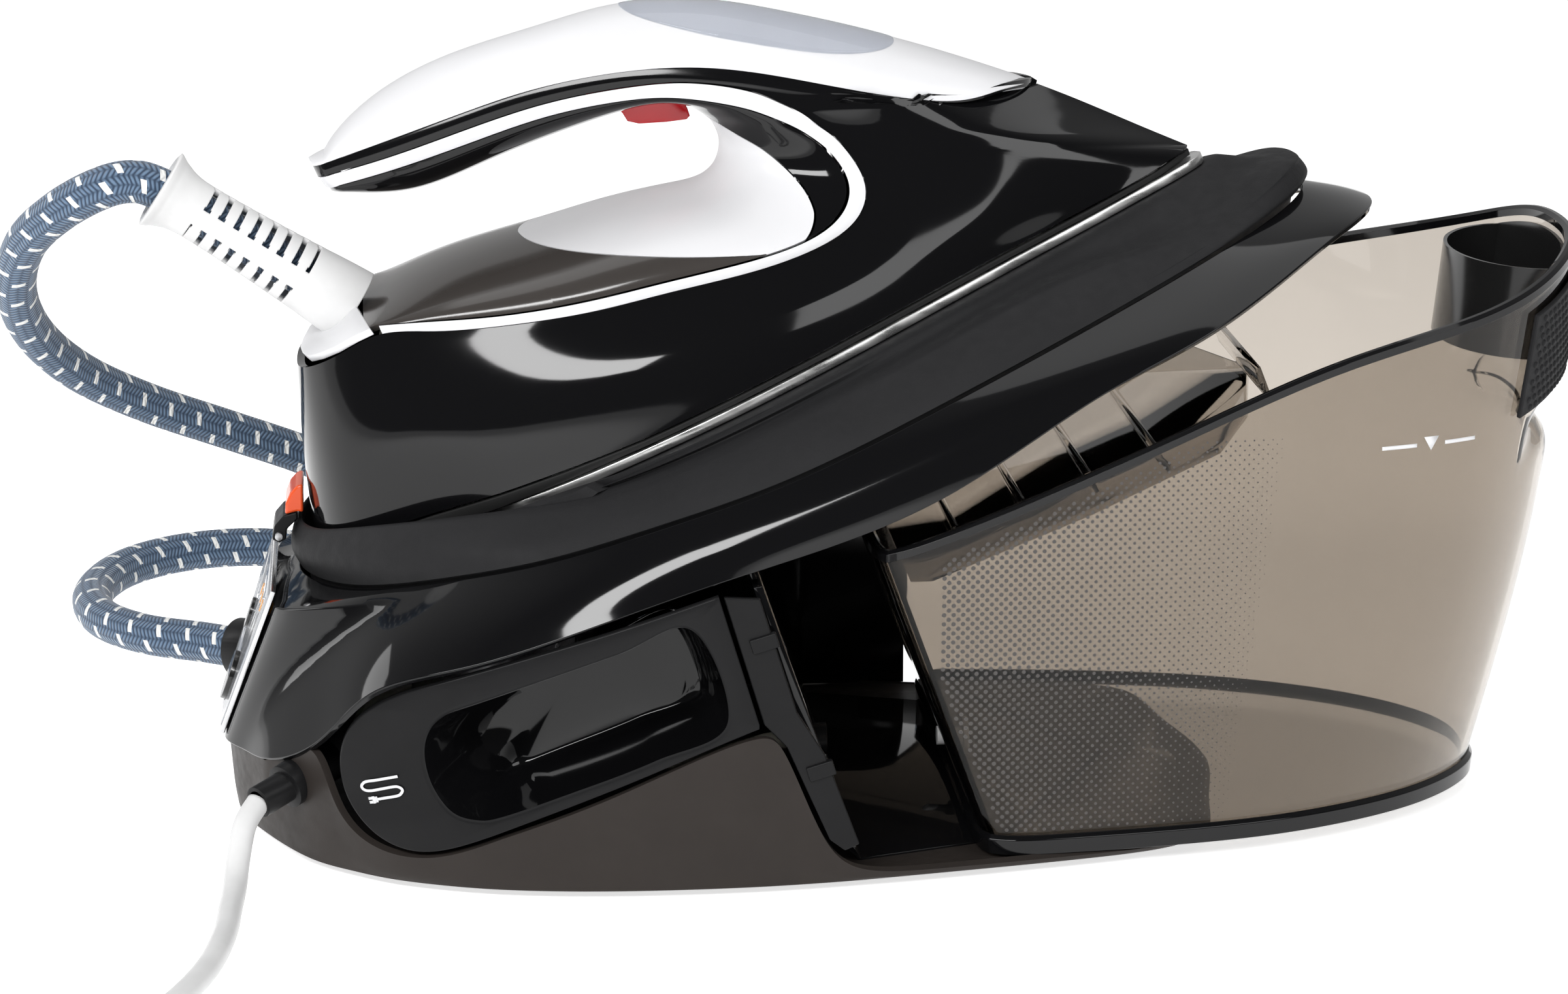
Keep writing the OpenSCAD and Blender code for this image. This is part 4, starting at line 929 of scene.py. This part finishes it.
def lower_shell():
    """Housing's side with its lip turned in underneath."""
    u = steps(0, 17, 241)
    foot, brim = housing_foot(u), housing_seam(u)
    out = outward_from(foot)
    start = foot - 0.4 * out + (0, 0, 1.2)
    side = [start, foot * 0.75 + brim * 0.25 + (0, 0, 0.6), foot * 0.4 + brim * 0.6, brim]
    lip = [foot * (0.2, 0, 1) + (-50, 0, 0.3), foot - 7 * out + (0, 0, 0.3)]
    lip.append(foot - 2.4 * out + (0, 0, 0.4))
    rows = np.concatenate([np.stack(lip, 1), across(side, steps(0, 1, 22))], 1)
    rows[..., 1] = np.maximum(rows[..., 1], 0)
    cover("lower_shell", centred(rows, foot), "base", "warm_grey", "lower_housing", 0.3)


tank_rim_line, tank_foot_line = curve(TANK_TOP, (8,)), curve(TANK_FOOT, (8,))
belly_line = curve([(i, b) for i, b in enumerate(TANK_BELLY)])


def plan_out(p, u, line):
    """Outward direction in plan along a half curve."""
    ahead = line(np.minimum(u + 0.05, 10)) - line(np.maximum(u - 0.05, 0))
    out = unit(np.stack([-ahead[:, 1], ahead[:, 0]], -1))
    out *= np.sign((out * np.stack([p[:, 0] - 80, 2 * p[:, 1]], -1)).sum(1))[:, None]
    out[np.abs(p[:, 1]) < ON_MIDDLE, 1] = 0
    return np.column_stack([out, 0 * u])


def tank_spots(u, t, lift=0.0):
    """Points of the tank's side, lifted off its skin: u is the place round it, t the height."""
    foot, rim = tank_foot_line(u), tank_rim_line(u)
    out = plan_out(foot, u, tank_foot_line)
    recess = 9 * np.exp(-(((t - 0.7) / 0.04) ** 2)) * np.clip((2 - u) / 0.8, 0, 1)
    reach = belly_line(u)[:, 1] * np.sin(t * math.pi) + lift - recess
    return foot * (1 - t)[:, None] + rim * t[:, None] + out * reach[:, None]


def tank_wall_at(u, t, lift=0.0):
    """The same for every u at every t."""
    t = np.asarray(t, float)
    return tank_spots(np.repeat(u, len(t)), np.tile(t, len(u)), lift).reshape(len(u), len(t), 3)


def tank_facing(u, t):
    """Directions that the skin faces at those points."""
    spot, small = tank_spots(u, t), 0.02
    facing = unit(np.cross(tank_spots(u + small, t) - spot, tank_spots(u, t + small) - spot))
    return facing * np.sign(facing @ np.array((1, 1, 0)))[:, None]


def band(name, line, u, height, section, slot, nodes, edge=0.4):
    """Moulding swept round a half curve and its mirror image, at one height if it is given.

    Points of the section are outward and up from the curve.
    """
    p = line(u)
    if height is not None:
        p[:, 2] = height
    out = plan_out(p, u, line)
    section = np.array(section + section[:1], float)
    rows = p[:, None] + out[:, None] * section[:, :1] + np.array((0, 0, 1)) * section[:, 1:]
    rows[..., 1] = np.maximum(rows[..., 1], 0)
    return settle(half_cover(name, centred(rows, p)), "tank", slot, nodes, 0, edge, 3, 25)


def tank_covers():
    u = np.concatenate([steps(0, 8, 161)[:-1], steps(8, 10, 25)])
    base = tank_foot_line(u)
    out = plan_out(base, u, tank_foot_line)
    floor_rows = [base * (0.3, 0, 0) + (60, 0, 7.2), base - 3 * out - (0, 0, 0.3)]
    floor_rows.append(base - 0.8 * out - (0, 0, 0.2))
    rows = np.concatenate([np.stack(floor_rows, 1), tank_wall_at(u, steps(0.0, 1, 61))], 1)
    rows = centred(rows, base)
    cover("tank_shell", rows, "tank", "smoked_clear", "tank_tub", 0.3, wall=2.2)
    section = [(-3, 0.2), (-3, 2.6), (-1.8, 3.6), (-0.4, 3.6), (0.7, 2.6), (0.7, 0.2)]
    band("tank_lip", tank_rim_line, u, None, section, "gloss_black", ["tank_rim"])
    section = [(0.4, 0), (2.2, 0.2), (2.6, 5), (1.4, 6.4), (0.8, 6.2)]
    band("tank_base_band", tank_foot_line, u, 5.2, section, "gloss_black", ["tank_skirt"])
    pad = tank_wall_at(steps(0, 2.3, 60), steps(0.965, 0.765, 20), 2.1)
    cover("tank_grip_pad", pad, "tank", "textured_black", "tank_grip", 0.5, (1, 0.2, 0), 1.6)


iron_covers()
base_shell()
rest_top()
lower_shell()
tank_covers()


# ---- Base details ----

side_line = curve([(x, 0, y) for x, y in SIDE_WIDTH])
SIDE_X = np.array([x for x, _ in SIDE_WIDTH], float)


def side_depth(x):
    """Half width of the base's side at each x, as a smooth curve."""
    u = np.interp(x, SIDE_X, np.arange(len(SIDE_X)))
    return side_line(u)[..., 2]


def even_loop(points, count):
    """The same number of points round any closed outline, evenly spaced."""
    closed = np.vstack([points, points[:1]])
    along = run(closed)
    place = np.linspace(0, along[-1], count, endpoint=False)
    return np.column_stack([np.interp(place, along, values) for values in closed.T])


def shrink(loop, by):
    """Outline in the x-z plane moved inward."""
    ahead = np.roll(loop, -1, axis=0) - np.roll(loop, 1, axis=0)
    aside = unit(np.column_stack([-ahead[:, 1], ahead[:, 0]]))
    if (aside * (loop.mean(0) - loop)).sum() < 0:
        aside = -aside
    return loop + aside * by


PANEL_POINTS = 200


def pocket_panel():
    """Panel on the side with a deep pocket whose rear end slopes up to the mouth."""
    count = len(PANEL_BORDER) - 1
    edge = curve([(x, 0, z) for x, z in PANEL_BORDER])(steps(0, count, 300))[:, [0, 2]]
    border = even_loop(edge, PANEL_POINTS)
    loop = np.array(POCKET_MOUTH + POCKET_MOUTH[:1], float)
    padded = np.vstack([loop[-2], loop, loop[1]])
    mouth = even_loop(spline(padded, steps(1, len(padded) - 2, 400))[:-1], PANEL_POINTS)
    nearest = np.argmin(np.linalg.norm(mouth - border[0], axis=1))
    mouth = np.roll(mouth, -nearest, axis=0)

    def ring(loop, depth):
        return np.column_stack([loop[:, 0], depth - side_depth(loop[:, 0]), loop[:, 1]])

    rings = [ring(border, 2.6), ring(border, 0.5)]
    rings += [ring(shrink(border, by), depth) for by, depth in ((0.15, 0.15), (0.5, 0))]
    for out in (1.6, 0.9, 0.35):
        rings.append(ring(shrink(mouth, -out), 0.5 * (1 - out / 1.6) ** 2))
    rear = ease((-122 - mouth[:, 0]) / 26)[:, None]
    middle, floor_depth = np.array((-106, 55)), 74
    for share in (0, 0.03, 0.08, 0.2, 0.35, 0.5, 0.65, 0.8, 0.92, 1):
        turn = share * math.pi / 2
        bowl = 1 - math.cos(turn)
        inward = 0.04 * share + 0.2 * bowl**2 + rear * 0.42 * share**0.9
        x, z = (mouth + (middle - mouth) * inward).T
        half = side_depth(mouth[:, 0])
        y = np.maximum((half - floor_depth) * math.sin(turn), 0.9 * share**0.3) - half
        rings.append(np.column_stack([x, y, z]))
    panel, bowl = rings_mesh("cord_panel", rings[:8], False), rings_mesh("cord_bowl", rings[7:])
    settle(panel, "base", "satin_black", ["cord_pocket"])
    settle(bowl, "base", "gloss_black")


def ribbons(name, strokes, middle, tilt, half):
    """Flat strokes on the base's side, in millimetres about the middle of a tilted mark."""
    points, faces = [], []
    c, s = math.cos(tilt), math.sin(tilt)
    for stroke in strokes:
        p = smooth(stroke, 8) if len(stroke) > 2 else np.array(stroke, float)
        ahead = unit(np.gradient(p, axis=0))
        aside = np.column_stack([-ahead[:, 1], ahead[:, 0]]) * half
        start = len(points)
        for across_it, along_it in np.stack([p + aside, p - aside], 1).reshape(-1, 2):
            x = middle[0] + across_it * c - along_it * s
            z = middle[1] + across_it * s + along_it * c
            points.append((x, -side_depth(np.array(x)) - 0.08, z))
        first = range(start, start + 2 * len(p) - 2, 2)
        faces += [(k, k + 1, k + 3, k + 2) for k in first]
    return link_mesh(name, points, faces)


def cord_mark():
    """Pictogram of a cord with its plug, below the pocket."""
    cord = [
        (5.8, 2.9), (0, 2.9), (-3.9, 2.9), (-5.4, 2.3), (-5.9, 1.4), (-5.4, 0.5), (-3.9, 0), (0, 0),
        (3.9, 0), (5.3, -0.5), (5.9, -1.4), (5.3, -2.3), (3.9, -2.9), (0, -2.9), (-2.6, -2.9),
    ]
    plug = [
        [(-2.7, -2.0), (-2.7, -3.8)], [(-3.5, -1.8), (-3.5, -4)],
        [(-3.6, -2.3), (-5, -2.3)], [(-3.6, -3.5), (-5, -3.5)],
    ]
    mark = ribbons("cord_mark", [cord] + plug, (-165.5, 33), math.radians(17), 0.42)
    settle(mark, "base", "white_gloss", (), 0.05)


def bay_wall():
    """Far wall of the bay."""
    x, height, foot = steps(-60, 14, 38), steps(0, 1, 12), 5
    y = np.interp(x, (-60, -20, 14), (102.6, 100.4, 99.6))
    top = np.interp(x, (-60, -40, 0, 14), (100, 103.5, 116, 120))
    points = [(a, b, foot + (c - foot) * share) for a, b, c in zip(x, y, top) for share in height]
    wall = link_mesh("bay_wall", points, sheet_faces(len(x), len(height)))
    settle(wall, "base", "gloss_black", (), 1.0, 0.2)


def prism(name, outline, low, high, body, slot, nodes=(), edge=0.5, segments=3):
    """Solid with an outline in the x-z plane, from one y to another, its edges rounded."""
    n = len(outline)
    points = [(x, y, z) for y in (low, high) for x, z in outline]
    faces = [tuple(range(n)), tuple(range(2 * n - 1, n - 1, -1))]
    faces += [(i, i + n, (i + 1) % n + n, (i + 1) % n) for i in range(n)]
    solid = edit_mesh(
        link_mesh(name, points, faces),
        lambda work: bmesh.ops.recalc_face_normals(work, faces=work.faces),
    )
    return settle(solid, body, slot, nodes, 0, edge, segments, 20)


def lock():
    lever = [
        (-198.4, 88.6), (-196.2, 87.5), (-194, 88.6), (-193.6, 92), (-190.2, 95.2),
        (-190.4, 97.4), (-194.6, 96.4), (-197.6, 93),
    ]
    button = [
        (-194.2, 96.6), (-190.3, 97.6), (-188.4, 97.2), (-188.3, 106.4), (-190.2, 106),
        (-192.4, 103.6), (-193.9, 100.2),
    ]
    half = 10
    prism("lock_lever", lever, -half, half, "lock", "satin_black", (), 0.6)
    prism("lock_button", button, -half, half, "lock", "lock_orange", ["lock_tab"], 0.9, 4)


# ---- Tank details ----

def discs(name, places, normals, radii, body, slot, dome=0.0, sides=10, rings=1):
    """Small round marks or domes on a surface, each facing along its normal."""
    points, faces = [], []
    circle = 2 * math.pi * np.arange(sides)[:, None] / sides
    last = (rings - 1) * sides
    pattern = ring_faces(rings, sides)
    pattern += [(last + j, last + (j + 1) % sides, rings * sides) for j in range(sides)]
    for place, normal, radius in zip(places, normals, radii):
        normal = unit(normal)
        one = unit(np.cross(normal, (0, 0, 1.0)))
        ring = np.cos(circle) * one + np.sin(circle) * np.cross(normal, one)
        start = len(points)
        for turn in np.arange(rings) * math.pi / 2 / rings:
            points += list(place + normal * math.sin(turn) * dome + math.cos(turn) * radius * ring)
        points.append(place + normal * dome)
        faces += [tuple(start + k for k in face) for face in pattern]
    return settle(link_mesh(name, points, faces), body, slot)


def tank_at_height(z, x, lift):
    """Points of the near side at one height z and each x, and the directions they face."""
    u = steps(0.1, 7.95, 300)
    foot, rim = tank_foot_line(u)[:, 2], tank_rim_line(u)[:, 2]
    t = (z - foot) / (rim - foot)
    found = tank_spots(u, t)[:, 0]
    at = np.interp(-np.asarray(x, float), -found, u)
    share = np.interp(at, u, t)
    near = np.array((1, -1, 1))
    return tank_spots(at, share, lift) * near, tank_facing(at, share) * near


def tank_marks():
    """Grid of printed dots that fades forward, and the level mark."""
    places, normals, radii = [], [], []
    pitch = 2.9
    for row in range(84):
        z = 13 + row * pitch * 0.5
        low = 24 - (z - 7.5) * 0.385
        x = np.arange(4, 118, pitch) + (row % 2) * pitch / 2
        x = x[(x > low) & (z < 94 + (x + 8) * 0.44)]
        fade = np.interp(x - 0.12 * (z - 80), (0, 28, 60, 92, 106), (1, 0.95, 0.7, 0.4, 0.1))
        x, fade = x[fade > 0.2], fade[fade > 0.2]
        spot, facing = tank_at_height(z, x, 0.06)
        places += list(spot)
        normals += list(facing)
        radii += list(0.72 * fade)
    discs("tank_dots", places, normals, radii, "tank", "smoked_deck", 0.02, 8)

    # Two bars with a triangle between them, pointing down at the level.
    points, faces, lift = [], [], 0.08
    for start, stop in ((139, 150.5), (160, 170.5)):
        first, x = len(points), steps(start, stop, 12)
        low, high = (tank_at_height(z, x, lift)[0] for z in (127.6, 128.8))
        points += [p for pair in zip(low, high) for p in pair]
        faces += [tuple(first + k for k in face) for face in sheet_faces(len(x), 2)]
    first = len(points)
    for z, x in ((130.6, (152.8, 157.8)), (126.2, (155.3,))):
        points += list(tank_at_height(z, x, lift)[0])
    faces.append((first, first + 2, first + 1))
    settle(link_mesh("level_mark", points, faces), "tank", "white_gloss", (), 0.05)


def grip_dimples():
    """Staggered rows of small domes on the tank's grip."""
    places, normals = [], []
    for row in range(11):
        arc = (np.arange(-22, 23) + 0.5 * (row % 2)) * 3.0
        arc = arc[np.abs(arc) < 66]
        u, t = np.abs(arc) / 29.5, np.full(arc.shape, 0.948 - 0.0172 * row)
        flip = np.stack([arc * 0 + 1, np.where(arc < 0, -1, 1), arc * 0 + 1], -1)
        places += list(tank_spots(u, t, 2.12) * flip)
        normals += list(tank_facing(u, t) * flip)
    radii = [1.05] * len(places)
    discs("grip_dimples", places, normals, radii, "tank", "textured_black", 0.55, 10, 3)


def tank_cup():
    """Black finger pocket behind the grip, inside the tank's nose."""
    front = tank_wall_at(steps(0, 1.5, 30), steps(0.99, 0.82, 14), -2.7)
    rows = rounded_tail(front, 26, 19)
    floor_rows = [rows[:, -1:] * (1, share, 1) for share in (0.5, 0)]
    cup = half_cover("tank_cup", np.concatenate([rows, *floor_rows], 1))
    settle(cup, "tank", "button_black", (), 1.2, 0.4)


def sleeve():
    """Ribbed hose sleeve: slots in four staggered columns, and the end of the hose inside it."""
    profile = np.array([
        (2, 12), (10, 11.6), (18, 11), (30, 10.3), (42, 9.7), (54, 9.3), (61, 9.3), (65, 9.9),
        (69, 11.4), (72, 13),
    ])
    count, around = 206, 120
    along = steps(2, 72, count)
    radius = spline(profile[:, 1], np.interp(along, profile[:, 0], np.arange(len(profile))))
    angle = np.arange(around) * 2 * math.pi / around
    lean = math.radians(57)
    axis = np.array((-math.sin(lean), 0, math.cos(lean)))
    side = np.array((math.cos(lean), 0, math.sin(lean)))
    start = from_iron((-262, 0, 66))
    ring = np.cos(angle)[:, None] * side + np.sin(angle)[:, None] * (0, 1, 0)
    points = start + along[:, None, None] * axis + radius[:, None, None] * ring
    pitch, slot_reach = 5.2, 35

    def in_slot(i, j):
        place = (along[i] + along[i + 1]) / 2
        turn = math.degrees((angle[j] + math.pi / around) % math.pi)
        upper = turn < 90
        reach = abs(turn - (38 if upper else 142))
        step = (place - 23 + (pitch / 2 if upper else 0)) % pitch
        half = 0.85 if reach < 26 else 1.15
        return 20 < place < 59 and reach < slot_reach and abs(step - pitch / 2) < half

    quads = enumerate(ring_faces(count, around))
    faces = [f for k, f in quads if not in_slot(*divmod(k, around))]

    def tidy_skin(work):
        loose = [v for v in work.verts if not v.link_faces]
        bmesh.ops.delete(work, geom=loose, context="VERTS")
        bmesh.ops.recalc_face_normals(work, faces=work.faces)
        middle = Vector(start + 40 * axis) * MM
        if sum((f.calc_center_median() - middle).dot(f.normal) for f in work.faces) < 0:
            bmesh.ops.reverse_faces(work, faces=work.faces)

    skin = edit_mesh(link_mesh("sleeve", points.reshape(-1, 3), faces), tidy_skin)
    settle(skin, "iron", "white_satin", ["hose_sleeve"], 1.9)
    line = (start + steps(6, 61, 40)[:, None] * axis) * MM
    core = tube_mesh("hose_end", line, HOSE_D * MM * 0.98, 32)
    dress(core, "hose_braid")
    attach(core, "iron")


def bay_strip():
    """Strip down the near edge of the bay, with its two clips."""
    strip = [
        (-63.4, 93.2), (-51.4, 53.6), (-44.6, 46.4), (-31.6, 17), (-27, 13.5), (-22.6, 15.5),
        (-33.2, 44), (-41.4, 57), (-52.6, 92.6),
    ]
    prism("bay_strip", strip, -108.6, -106.4, "base", "satin_black")
    for name, x, z in (("bay_clip_upper", -53, 78), ("bay_clip_lower", -36, 38)):
        clip = [(x - 3, z + 2), (x + 5, z + 4.4), (x + 6.4, z), (x - 1.6, z - 2.4)]
        prism(name, clip, -109.6, -106.8, "base", "satin_black")


pocket_panel()
cord_mark()
bay_wall()
bay_strip()
lock()
sleeve()
steam_hose()
mains_lead()
tank_marks()
grip_dimples()
tank_cup()


def refine_nodes():
    """Rounds the edges of the CAD nodes that stay in view."""
    hidden = {n for o in bpy.data.objects for n in o.get("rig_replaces", [])}
    for name, obj in frame["nodes"].items():
        if name in hidden:
            continue
        weld = obj.modifiers.new("weld", "WELD")
        weld.merge_threshold = 0.00001
        bevel = obj.modifiers.new("edge", "BEVEL")
        bevel.width, bevel.segments, bevel.limit_method = 0.3 * MM, 2, "ANGLE"
        bevel.angle_limit, bevel.harden_normals = math.radians(38), True
        shade_smooth(obj)


refine_nodes()
